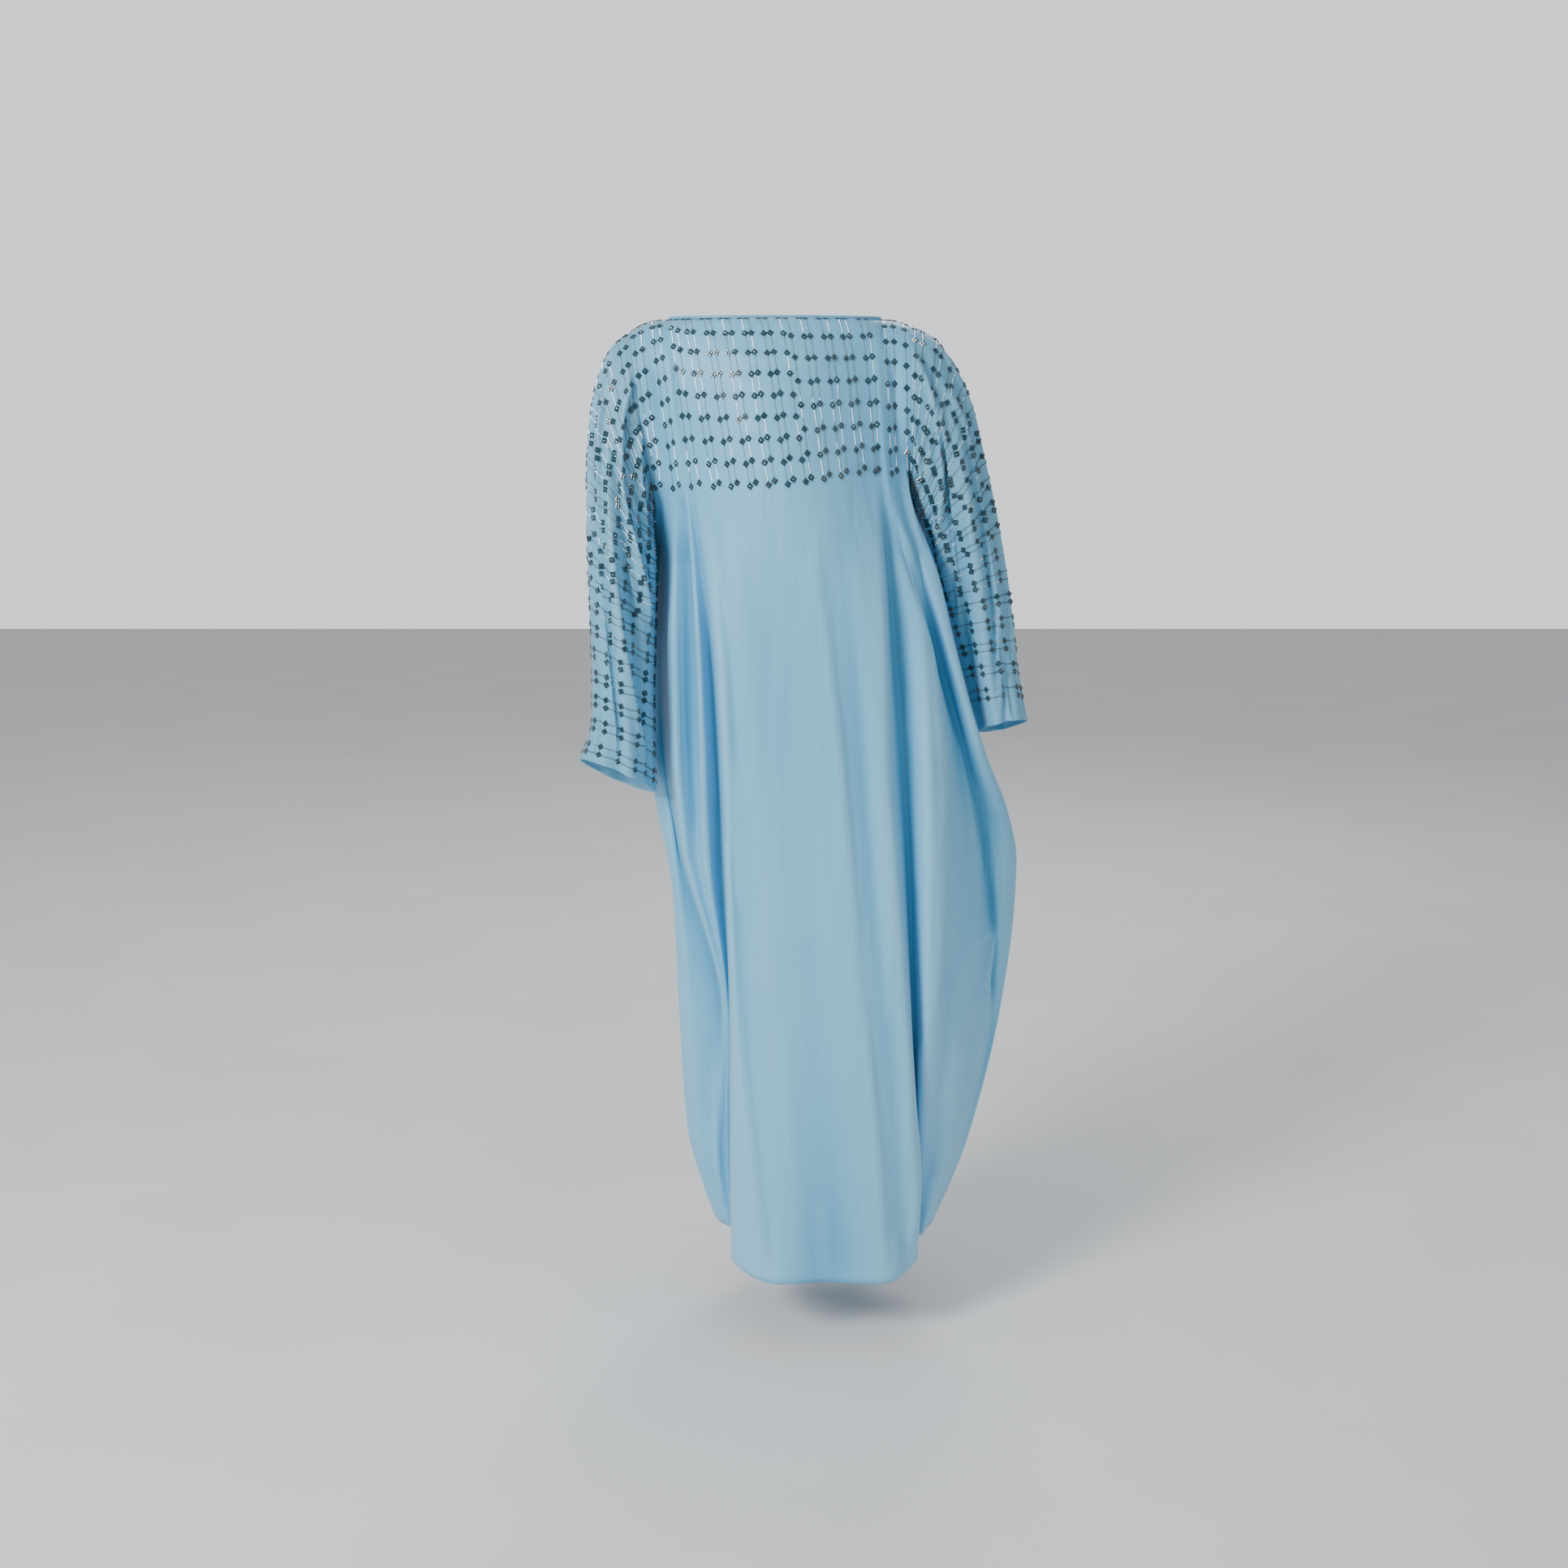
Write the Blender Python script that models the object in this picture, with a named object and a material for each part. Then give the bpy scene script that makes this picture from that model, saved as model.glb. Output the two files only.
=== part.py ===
"""A worn batwing abaya: front, back, two sleeves and a neck binding, each a thin wall of cloth.

Metres, +Z up. The wearer faces -Y, so the wearer's right arm is at -X. The origin lies between
the shoulders, at the height where the cloth rests on them. Tables are in millimetres; a drop is
measured down from the origin.
"""

import math

import bpy

MM = 0.001

# Driving sizes of the garment
LENGTH = 1370  # shoulder to hem
WALL = 1.5  # thickness of the cloth wall
SEAM_GAP = 0.3  # between two pieces sewn edge to edge
SHOULDER_ROUND = 75  # how far down the cloth takes to turn over the shoulder
ARMHOLE_DEPTH = 80  # armhole, from the shoulder line forward, and the same backward
ARMHOLE_PEAR = 0.4  # how much narrower the armhole is towards the underarm
NECK_LEFT, NECK_RIGHT, NECK_HEIGHT = -145, 152, 1
NECK_FRONT_DEPTH, NECK_BACK_DEPTH = 74, 70
BINDING_TALL, BINDING_THICK = 5.0, 3.2
SEAM_ROLL = 12  # how far the cloth runs straight past a side seam before it bends away

# Tips of the shoulders and the underarm points, as (across, height)
SHOULDER_TIP = {"right": (-199, -15), "left": (190, -7)}
UNDERARM = {"right": (-169, -244), "left": (193, -231)}

# Numbers of strips in the cloth meshes
YOKE_ROWS, SKIRT_ROWS = 10, 22
SLEEVE_ROWS, SLEEVE_STRIPS = 15, 28

# Yoke: drop, depth of the middle of the front, depth of the middle of the back
YOKE_COLUMNS = ("drop", "front", "back")
YOKE = (
    (0, -98, 88),
    (110, -121, 108),
    (180, -130, 115),
    (240, -135, 119),
)

# Body below the arms: the side seams (across and depth), the middle of the front and of the
# back (depth), and how square the section is
SECTION_COLUMNS = ("drop", "right", "left", "right_depth", "left_depth", "front", "back", "square")
SECTIONS = (
    (240, -169, 193, 0, 0, -135, 119, 2.1),
    (256, -167, 198, 8, -10, -136, 120, 2.2),
    (300, -169, 216, 30, -32, -139, 122, 2.4),
    (350, -178, 234, 48, -44, -142, 125, 2.7),
    (450, -187, 259, 54, -52, -146, 130, 3.0),
    (560, -186, 290, 52, -48, -150, 135, 3.0),
    (620, -187, 311, 50, -30, -152, 138, 3.0),
    (700, -174, 344, 44, 0, -154, 142, 3.0),
    (780, -158, 360, 38, 6, -156, 144, 3.0),
    (850, -149, 358, 36, 8, -157, 146, 3.0),
    (1000, -143, 341, 32, 8, -159, 148, 3.2),
    (1200, -132, 298, 32, 8, -161, 148, 3.8),
    (1300, -108, 263, 38, 10, -162, 146, 5.0),
    (1370, -84, 233, 46, 16, -165, 144, 6.8),
)
HEM_RISE = 22  # how much shorter the hem hangs at the side seams

# Lines of the drape, right to left of the wearer. Each row gives where the line runs across at
# these drops, how far it is sunk there (a ridge is negative), and the strips up to the next line
LINE_DROPS = (240, 450, 600, 750, 1000, 1200, 1370)
LINE_COLUMNS = ("name", "across", "sunk", "strips")
FRONT_LINES = (
    ("wing", (-158, -172, -168, -149, -123, -113, -77), (0, 0, 0, 0, 12, 22, 35), 2),
    ("wing root", (-152, -160, -160, -142, -84, -86, -70), (0, 6, 10, 14, 58, 55, 75), 1),
    ("column edge", (-147, -153, -152, -136, -75, -77, -67), (0, 0, -4, -2, 50, 74, 85), 2),
    ("column ridge", (-137, -141, -139, -127, -71, -73, -65), (0, -12, -16, -12, 52, 81, 92), 2),
    ("outer valley", (-124, -116, -113, -110, -67, -70, -64), (4, 26, 24, 10, 54, 84, 96), 1),
    ("thin ridge", (-118, -104, -99, -95, -67, -69, -63), (0, -2, -2, 0, 53, 82, 96), 1),
    ("inner valley", (-112, -89, -81, -77, -65, -66, -61), (4, 32, 40, 42, 54, 82, 90), 2),
    ("centre right edge", (-105, -76, -68, -64, -60, -58, -57), (0, -6, -4, -2, 0, 0, 0), 2),
    ("right crease", (-70, -52, -51, -50, -46, -27, -5), (0, 2, 3, 2, -3, -5, -6), 3),
    ("centre field", (-10, 5, 12, 20, 35, 55, 70), (0, 2, 3, 3, 3, 2, 2), 3),
    ("pressed crease", (60, 78, 95, 109, 135, 155, 166), (0, -4, -6, -6, -6, -6, -6), 2),
    ("left field", (105, 118, 128, 140, 165, 182, 192), (0, 4, 5, 5, 4, 4, 4), 2),
    ("centre left edge", (146, 156, 160, 172, 195, 209, 215), (0, -4, -3, -2, 0, 0, 0), 2),
    ("deep valley", (156, 170, 184, 193, 204, 211, 209), (4, 24, 30, 36, 50, 76, 108), 2),
    ("left ridge", (166, 212, 219, 221, 221, 219, 214), (0, -8, -8, -4, 10, 48, 92), 2),
    ("hip field", (172, 224, 248, 262, 262, 252, 222), (0, 4, 6, 12, 14, 14, 42), 2),
    ("diagonal valley", (177, 234, 272, 310, 322, 280, 227), (0, 20, 26, 26, 8, 2, 24), 2),
    ("outer roll", (186, 247, 292, 340, 332, 290, 230), (0, -6, -6, -4, 0, 0, 10), 2),
)
BACK_LINES = (
    ("right side", (-155, -166, -160, -144, -118, -104, -62), (0, 4, 6, 8, 8, 6, 4), 2),
    ("right valley", (-135, -128, -120, -106, -84, -66, -38), (0, 18, 26, 32, 36, 36, 30), 2),
    ("right ridge", (-95, -88, -80, -70, -48, -30, -8), (0, -4, -6, -7, -8, -8, -6), 3),
    ("centre right valley", (-40, -34, -26, -12, 6, 16, 30), (0, 8, 12, 18, 22, 24, 22), 3),
    ("centre", (12, 22, 32, 44, 58, 64, 68), (0, -2, -3, -5, -6, -6, -4), 3),
    ("centre left valley", (66, 80, 92, 104, 116, 116, 110), (0, 8, 12, 16, 20, 22, 20), 3),
    ("left ridge", (116, 134, 148, 162, 168, 160, 146), (0, -4, -6, -7, -8, -8, -6), 3),
    ("left valley", (152, 184, 206, 224, 224, 208, 180), (0, 16, 24, 30, 34, 34, 28), 3),
    ("left side", (180, 230, 264, 302, 292, 258, 208), (0, 4, 6, 8, 8, 6, 4), 2),
)

# Sleeves: the outer and the inner end of each ring (across, height), its half depth, how far
# forward of the shoulder line its middle lies and how much its front is lifted
RING_COLUMNS = ("outer", "inner", "half_depth", "middle", "lift")
RIGHT_RINGS = (
    ((-199, -15), (-169, -244), 80, 0, 0),
    ((-209, -20), (-169, -247), 80, 0, 0),
    ((-228, -38), (-169, -256), 79, 0, 0),
    ((-246, -78), (-169, -272), 78, 2, 0),
    ((-258, -140), (-168, -300), 76, 6, 0),
    ((-263, -220), (-165, -340), 73, 14, 2),
    ((-263, -310), (-166, -392), 70, 24, 4),
    ((-261, -400), (-168, -455), 67, 34, 8),
    ((-258, -490), (-170, -528), 64, 42, 12),
    ((-259, -560), (-170, -596), 62, 48, 16),
    ((-277, -618), (-168, -664), 62, 52, 20),
)
LEFT_RINGS = (
    ((190, -7), (193, -231), 80, 0, 0),
    ((201, -9), (194, -234), 80, 0, 0),
    ((224, -20), (196, -241), 79, -2, 0),
    ((252, -54), (200, -254), 78, -6, 0),
    ((280, -112), (207, -276), 76, -12, 0),
    ((300, -188), (216, -308), 73, -20, 2),
    ((322, -276), (227, -350), 70, -28, 4),
    ((340, -370), (243, -402), 67, -30, 8),
    ((352, -450), (261, -464), 64, -24, 12),
    ((362, -520), (280, -528), 62, -14, 14),
    ((371, -570), (298, -584), 62, -4, 16),
)

# Folds that run down a sleeve: where each lies round the ring at the top, middle and cuff (0 is
# outside, 90 front, 180 inside, 270 back), its spread, how far it is sunk, and where it begins
FOLD_COLUMNS = ("turns", "spread", "sunk", "start")
RIGHT_FOLDS = (
    ((25, 95, 165), 13, 5, 0.05),
    ((52, 58, 92), 12, 7, 0.25),
    ((62, 76, 112), 14, -6, 0.25),
    ((78, 100, 150), 13, 7, 0.3),
    ((300, 296, 288), 16, 7, 0.1),
    ((250, 246, 240), 18, 6, 0.15),
)
LEFT_FOLDS = (
    ((25, 100, 160), 13, 5, 0.05),
    ((88, 100, 150), 12, 7, 0.15),
    ((60, 72, 112), 14, -6, 0.2),
    ((42, 52, 92), 12, 7, 0.2),
    ((300, 296, 288), 16, 7, 0.1),
    ((250, 246, 240), 18, 6, 0.15),
)


def named(columns, rows):
    """Rows of a table as dictionaries, so that a value is read by the name of its column."""
    return [dict(zip(columns, row)) for row in rows]


def mix(a, b, share):
    return a + (b - a) * share


def slopes(stops, values):
    """Slope at each stop that never lets the curve through the values overshoot them."""
    steps = [
        (values[i + 1] - values[i]) / (stops[i + 1] - stops[i]) for i in range(len(stops) - 1)
    ]
    inner = [
        0 if a * b <= 0 else 2 * a * b / (a + b) for a, b in zip(steps, steps[1:])
    ]
    return [steps[0], *inner, steps[-1]]


def glide(stops, values, at):
    """Value at a place between the stops, on a smooth curve through all of them."""
    at = min(max(at, stops[0]), stops[-1])
    i = max(k for k in range(len(stops) - 1) if stops[k] <= at)
    span = stops[i + 1] - stops[i]
    t = (at - stops[i]) / span
    m = slopes(stops, values)
    return (
        values[i] * (1 + 2 * t) * (1 - t) ** 2
        + values[i + 1] * t * t * (3 - 2 * t)
        + m[i] * span * t * (1 - t) ** 2
        - m[i + 1] * span * t * t * (1 - t)
    )


def table_at(rows, column, drop):
    return glide([r["drop"] for r in rows], [r[column] for r in rows], drop)


def knot_gap(a, b):
    return max(math.dist(a, b), 1e-6) ** 0.5


def curve_through(points, strips):
    """Points on a smooth curve through all the points, with so many strips between each two."""
    first = tuple(2 * a - b for a, b in zip(points[0], points[1]))
    last = tuple(2 * a - b for a, b in zip(points[-1], points[-2]))
    padded = [first, *points, last]
    found = [points[0]]
    for i, count in enumerate(strips):
        p0, p1, p2, p3 = padded[i : i + 4]
        d1, d2, d3 = knot_gap(p0, p1), knot_gap(p1, p2), knot_gap(p2, p3)
        for k in range(1, count + 1):
            t = k / count
            point = []
            for a, b, c, d in zip(p0, p1, p2, p3):
                into = ((b - a) / d1 - (c - a) / (d1 + d2) + (c - b) / d2) * d2
                out = ((c - b) / d2 - (d - b) / (d2 + d3) + (d - c) / d3) * d2
                point.append(
                    b * (1 + 2 * t) * (1 - t) ** 2
                    + c * t * t * (3 - 2 * t)
                    + into * t * (1 - t) ** 2
                    - out * t * t * (1 - t)
                )
            found.append(tuple(point))
    return found


def plain_depth(across, drop, face):
    """Depth of the body without folds: face is "front" or "back"."""
    rows = named(SECTION_COLUMNS, SECTIONS)
    right, left = (table_at(rows, side, drop) for side in ("right", "left"))
    share = (across - right) / (left - right)
    seam = mix(table_at(rows, "right_depth", drop), table_at(rows, "left_depth", drop), share)
    fullness = 1 - abs(2 * share - 1) ** table_at(rows, "square", drop)
    return mix(seam, table_at(rows, face, drop), max(fullness, 0))


def section(drop, face, lines):
    """The front's or the back's curve at one drop, from side seam to side seam: (across, depth)."""
    rows = named(SECTION_COLUMNS, SECTIONS)
    outwards = -1 if face == "front" else 1
    ends = [
        (table_at(rows, side, drop), table_at(rows, side + "_depth", drop) + outwards * SEAM_GAP / 2)
        for side in ("right", "left")
    ]
    settled = min(max((drop - LINE_DROPS[0]) / SHOULDER_ROUND, 0), 1)
    points = [ends[0], (ends[0][0] + 0.6, ends[0][1] + outwards * SEAM_ROLL * settled)]
    for line in lines:
        across = glide(LINE_DROPS, line["across"], drop)
        sunk = glide(LINE_DROPS, line["sunk"], drop)
        points.append((across, plain_depth(across, drop, face) - outwards * sunk))
    points += [(ends[1][0] - 0.6, ends[1][1] + outwards * SEAM_ROLL * settled), ends[1]]
    if not settled:
        del points[-2], points[1]
    return points


def strips_across(lines):
    return [1, 2, *(line["strips"] for line in lines), 1]


def section_points(drop, face, lines):
    """The section's curve, cut into strips. At the underarm the seam's straight run vanishes."""
    points = section(max(drop, LINE_DROPS[0] + 1), face, lines)
    return curve_through(points, strips_across(lines))


def armhole(side, turn, face):
    """Point on the armhole's edge: turn is 0 at the shoulder and pi at the underarm."""
    share = (1 - math.cos(turn)) / 2
    across, height = (mix(a, b, share) for a, b in zip(SHOULDER_TIP[side], UNDERARM[side]))
    depth = ARMHOLE_DEPTH * math.sin(turn) * (1 - ARMHOLE_PEAR * share)
    return across, (-depth if face == "front" else depth), height


def top_edge(across, face):
    """Depth and height of the panel's top: the neckline, and the shoulder seams beside it."""
    outwards = -1 if face == "front" else 1
    if NECK_LEFT < across < NECK_RIGHT:
        middle, half = (NECK_LEFT + NECK_RIGHT) / 2, (NECK_RIGHT - NECK_LEFT) / 2
        reach = NECK_FRONT_DEPTH if face == "front" else NECK_BACK_DEPTH
        bow = math.sqrt(1 - ((across - middle) / half) ** 2)
        return outwards * max(reach * bow, SEAM_GAP / 2), NECK_HEIGHT
    neck, side = (NECK_LEFT, "right") if across < 0 else (NECK_RIGHT, "left")
    tip, height = SHOULDER_TIP[side]
    fall = ((across - neck) / (tip - neck)) ** 2.5
    return outwards * SEAM_GAP / 2, mix(NECK_HEIGHT, height, fall)


def yoke_row(turn, face, shares):
    """One row of a panel above the underarm, from armhole to armhole."""
    rows = named(YOKE_COLUMNS, YOKE)
    right, left = (armhole(side, turn, face) for side in ("right", "left"))
    down = (1 - math.cos(turn)) / 2
    outwards = -1 if face == "front" else 1
    found = []
    for share in shares:
        tops = (SHOULDER_TIP["right"][0], SHOULDER_TIP["left"][0])
        top_depth, top_height = top_edge(mix(*tops, share), face)
        bottom = mix(UNDERARM["right"][1], UNDERARM["left"][1], share)
        height = mix(top_height, bottom, down)
        drop = top_height - height
        turned = math.sqrt(1 - (1 - min(max(drop, 0.01) / SHOULDER_ROUND, 1)) ** 2)
        edge = outwards * max(abs(right[1]), 1) / turned
        square = SECTIONS[0][SECTION_COLUMNS.index("square")]
        sideways = abs(2 * share - 1)
        depth = table_at(rows, face, drop) * (1 - sideways**square) + edge * sideways**4
        depth = mix(top_depth, depth, turned)
        found.append((mix(right[0], left[0], share), depth, height))
    return found


def panel_grid(face, lines):
    """Rows of points of the front or the back, from the top edge to the hem."""
    lines = named(LINE_COLUMNS, lines)
    under = section_points(LINE_DROPS[0], face, lines)
    width = under[-1][0] - under[0][0]
    shares = [(across - under[0][0]) / width for across, depth in under]
    grid = [yoke_row(math.pi * r / YOKE_ROWS, face, shares) for r in range(YOKE_ROWS)]
    starts = [-mix(UNDERARM["right"][1], UNDERARM["left"][1], share) for share in shares]
    for r in range(SKIRT_ROWS + 1):
        down = (r / SKIRT_ROWS) ** 1.08
        hems = [LENGTH - HEM_RISE * abs(2 * share - 1) ** 4 for share in shares]
        drops = [mix(start, hem, down) for start, hem in zip(starts, hems)]
        sections = {d: section_points(d, face, lines) for d in set(drops)}
        grid.append([(*sections[d][k], -d) for k, d in enumerate(drops)])
    return grid


def fold_depth(folds, along, turn):
    """How far all folds together push the sleeve's cloth in at one place."""
    depth = 0
    for fold in folds:
        centre = glide((0, 0.5, 1), fold["turns"], along)
        away = (turn - centre + 180) % 360 - 180
        grown = min(max((along - fold["start"]) / 0.3, 0), 1)
        depth += fold["sunk"] * grown * math.exp(-((away / fold["spread"]) ** 2))
    return depth


def sleeve_grid(rings, folds, outwards):
    """Rings of points from the armhole to the cuff. outwards is -1 on the wearer's right."""
    rings, folds = named(RING_COLUMNS, rings), named(FOLD_COLUMNS, folds)
    stops = list(range(len(rings)))
    grid = []
    for r in range(SLEEVE_ROWS + 1):
        along = r / SLEEVE_ROWS
        at = along * stops[-1]
        outer, inner = (
            [glide(stops, [ring[end][k] for ring in rings], at) for k in (0, 1)]
            for end in ("outer", "inner")
        )
        half = glide(stops, [ring["half_depth"] for ring in rings], at)
        middle = -glide(stops, [ring["middle"] for ring in rings], at)
        lift = glide(stops, [ring["lift"] for ring in rings], at)
        row = []
        for s in range(SLEEVE_STRIPS):
            turn = 360 * s / SLEEVE_STRIPS
            cos, sin = math.cos(math.radians(turn)), math.sin(math.radians(turn))
            reach = 1 - fold_depth(folds, along, turn) / half
            across, height = (
                (o + i) / 2 + (o - i) / 2 * cos * reach for o, i in zip(outer, inner)
            )
            pear = 1 - ARMHOLE_PEAR * (1 - cos) / 2 * (1 - along) ** 2
            across, height = across + outwards * SEAM_GAP, height + lift * sin
            row.append((across, middle - half * sin * reach * pear, height))
        grid.append(row)
    return grid


def neck_loop():
    """Points round the neckline, on the middle of the wall, as (across, depth)."""
    steps = 40
    middle, half = (NECK_LEFT + NECK_RIGHT) / 2, (NECK_RIGHT - NECK_LEFT) / 2 - WALL / 2
    found = []
    for k in range(steps):
        turn = 2 * math.pi * k / steps
        reach = NECK_FRONT_DEPTH if math.sin(turn) < 0 else NECK_BACK_DEPTH
        found.append((middle + half * math.cos(turn), (reach - WALL / 2) * math.sin(turn)))
    return found


def mesh_object(name, points, faces, colour):
    """A named mesh object, in metres, with its own material and smooth shading."""
    mesh = bpy.data.meshes.new(name)
    mesh.from_pydata([tuple(c * MM for c in p) for p in points], [], faces)
    mesh.shade_smooth()
    material = bpy.data.materials.new(name)
    material.use_nodes = True
    shader = material.node_tree.nodes["Principled BSDF"]
    shader.inputs["Base Color"].default_value = (*colour, 1)
    shader.inputs["Roughness"].default_value = 0.55
    shader.inputs["Metallic"].default_value = 0
    mesh.materials.append(material)
    made = bpy.data.objects.new(name, mesh)
    garment.objects.link(made)
    return made


def subtract(a, b):
    return tuple(p - q for p, q in zip(a, b))


def unit_cross(a, b):
    """Direction square to both a and b."""
    made = (a[1] * b[2] - a[2] * b[1], a[2] * b[0] - a[0] * b[2], a[0] * b[1] - a[1] * b[0])
    size = math.hypot(*made) or 1
    return tuple(c / size for c in made)


def seam_inward(before, after, plane, toward, here):
    """Direction into the garment that stays in the plane of a seam, so that walls never cross."""
    made = unit_cross(subtract(after, before), plane)
    inside = sum(a * b for a, b in zip(made, subtract(toward, here)))
    return made if inside > 0 else tuple(-c for c in made)


def armhole_plane(side):
    (tip_across, tip_height), (under_across, under_height) = SHOULDER_TIP[side], UNDERARM[side]
    return unit_cross((tip_across - under_across, 0, tip_height - under_height), (0, 1, 0))


def armhole_middle(side):
    return tuple(mix(a, b, 0.5) for a, b in zip(SHOULDER_TIP[side], UNDERARM[side]))


def cloth(name, grid, closed, outwards, sides, colour):
    """A wall of cloth whose outer side is the grid; sides are the armholes that it is sewn to."""
    rows, columns = len(grid), len(grid[0])
    seams = named(SECTION_COLUMNS, SECTIONS)
    inner = []
    for r, row in enumerate(grid):
        above, below = grid[max(r - 1, 0)], grid[min(r + 1, rows - 1)]
        for c, here in enumerate(row):
            before, after = row[c - 1 if closed else max(c - 1, 0)], row[(c + 1) % columns]
            if not closed and c == columns - 1:
                after = here
            into = unit_cross(subtract(after, before), subtract(below[c], above[c]))
            into = tuple(outwards * v for v in into)
            side = sides[0] if c < columns / 2 else sides[-1]
            across, height = armhole_middle(side)
            if closed and r == 0:
                into = seam_inward(before, after, armhole_plane(side), (across, 0, height), here)
            elif not closed and c in (0, columns - 1) and 0 < r < YOKE_ROWS:
                plane = armhole_plane(side)
                into = seam_inward(above[c], below[c], plane, (across, 0, height), here)
            elif not closed and c in (0, columns - 1) and r:
                high = here if r == YOKE_ROWS else above[c]
                into = seam_inward(high, below[c], (0, 1, 0), (25, 0, here[2]), here)
            elif not closed and r == 0 and not NECK_LEFT < here[0] < NECK_RIGHT:
                into = seam_inward(before, after, (0, 1, 0), (here[0], 0, -LENGTH), here)
            point = tuple(a + WALL * b for a, b in zip(here, into))
            if not closed and r >= YOKE_ROWS and not 2 < c < columns - 3:
                drop = max(-point[2], LINE_DROPS[0])
                seam = table_at(seams, side + "_depth", drop)
                nearest = seam - outwards * SEAM_GAP / 2
                keep = min if outwards > 0 else max
                point = (point[0], keep(point[1], nearest), point[2])
            inner.append(point)
    points = [p for row in grid for p in row] + inner
    lower = rows * columns
    faces = []
    for r in range(rows - 1):
        for c in range(columns if closed else columns - 1):
            d = (c + 1) % columns
            a, b = r * columns, (r + 1) * columns
            faces.append((a + c, b + c, b + d, a + d)[::outwards])
            faces.append((a + c + lower, a + d + lower, b + d + lower, b + c + lower)[::outwards])
    for r in (0, rows - 1):
        for c in range(columns if closed else columns - 1):
            a, b = r * columns + c, r * columns + (c + 1) % columns
            face = (a, b, b + lower, a + lower) if r == 0 else (b, a, a + lower, b + lower)
            faces.append(face[::outwards])
    for c in () if closed else (0, columns - 1):
        turned = outwards if c else -outwards
        for r in range(rows - 1):
            a, b = r * columns + c, (r + 1) * columns + c
            faces += [(a, b, b + lower)[::turned], (a, b + lower, a + lower)[::turned]]
    return mesh_object(name, points, faces, colour)


def neck_binding(colour):
    """A narrow folded strip on the neckline's edge, all round."""
    profile = 6
    loop = neck_loop()
    middle = NECK_HEIGHT + SEAM_GAP + BINDING_TALL / 2
    points, faces = [], []
    for k, (across, depth) in enumerate(loop):
        after, before = loop[(k + 1) % len(loop)], loop[k - 1]
        run = math.dist(after, before)
        outward = ((after[1] - before[1]) / run, (before[0] - after[0]) / run)
        for s in range(profile):
            turn = 2 * math.pi * (s + 0.5) / profile
            out = BINDING_THICK / 2 * math.cos(turn) / math.cos(math.pi / profile)
            up = BINDING_TALL / 2 * math.sin(turn)
            points.append((across + outward[0] * out, depth + outward[1] * out, middle + up))
    for k in range(len(loop)):
        for s in range(profile):
            a, b = k * profile, (k + 1) % len(loop) * profile
            t = (s + 1) % profile
            faces.append((a + s, b + s, b + t, a + t))
    return mesh_object("neck_binding", points, faces, colour)


def build():
    blue, soft_blue, binding_blue = (0.25, 0.46, 0.61), (0.26, 0.45, 0.57), (0.24, 0.45, 0.60)
    both = ("right", "left")
    cloth("front", panel_grid("front", FRONT_LINES), False, 1, both, blue)
    cloth("back", panel_grid("back", BACK_LINES), False, -1, both, blue)
    right = sleeve_grid(RIGHT_RINGS, RIGHT_FOLDS, -1)
    left = sleeve_grid(LEFT_RINGS, LEFT_FOLDS, 1)
    cloth("right_sleeve", right, True, 1, ("right",), soft_blue)
    cloth("left_sleeve", left, True, -1, ("left",), soft_blue)
    neck_binding(binding_blue)


for leftover in list(bpy.data.objects):
    bpy.data.objects.remove(leftover)
garment = bpy.data.collections.new("abaya")
bpy.context.scene.collection.children.link(garment)
build()
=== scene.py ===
# %% [markdown]
# # A beaded batwing abaya
# The real garment is one light satin cloth, cut as a front, a back and two sleeves, worn over the
# shoulders so that it falls in long folds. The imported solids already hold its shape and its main
# folds. This script lays a thin cloth shell on the same sections, presses finer creases into it,
# sews the hems, and strings the yoke and the sleeves with beads and stones.

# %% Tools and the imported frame
import math

import bpy
import numpy as np
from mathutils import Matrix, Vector


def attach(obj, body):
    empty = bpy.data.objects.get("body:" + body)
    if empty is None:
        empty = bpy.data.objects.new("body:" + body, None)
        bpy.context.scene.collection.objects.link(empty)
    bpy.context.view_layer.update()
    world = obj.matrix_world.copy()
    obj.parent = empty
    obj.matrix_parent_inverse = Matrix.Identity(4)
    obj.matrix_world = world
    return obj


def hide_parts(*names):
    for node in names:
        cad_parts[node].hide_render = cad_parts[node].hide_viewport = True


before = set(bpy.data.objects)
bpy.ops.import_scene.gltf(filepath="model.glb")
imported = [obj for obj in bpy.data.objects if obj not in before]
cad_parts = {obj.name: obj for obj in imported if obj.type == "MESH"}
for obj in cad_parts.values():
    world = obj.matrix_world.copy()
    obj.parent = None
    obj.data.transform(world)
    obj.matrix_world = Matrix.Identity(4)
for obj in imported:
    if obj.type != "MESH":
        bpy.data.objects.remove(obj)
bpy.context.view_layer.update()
print("nodes in the frame:", ", ".join(sorted(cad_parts)))

# %% [markdown]
# The camera stands where the photographer stood: a little above the shoulders, looking slightly
# down. Setting it first means that every later render can be laid beside the photograph.

# %% The camera
camera_data = bpy.data.cameras.new("camera")
camera_data.sensor_width = 36
camera_data.lens = 46.17
camera = bpy.data.objects.new("camera", camera_data)
camera.location = (0.016, -2.9, -0.10)
camera.rotation_euler = (math.radians(90 - 10.98), 0, 0)
bpy.context.scene.collection.objects.link(camera)
bpy.context.scene.camera = camera

# %% [markdown]
# Cloth this thin has no thickness worth modelling in its outline, so everything starts from
# sections: closed curves across the body at several heights, and rings down each sleeve. The tables
# are those of the solids, in millimetres. A drop is measured down from the top of the shoulders.

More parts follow.
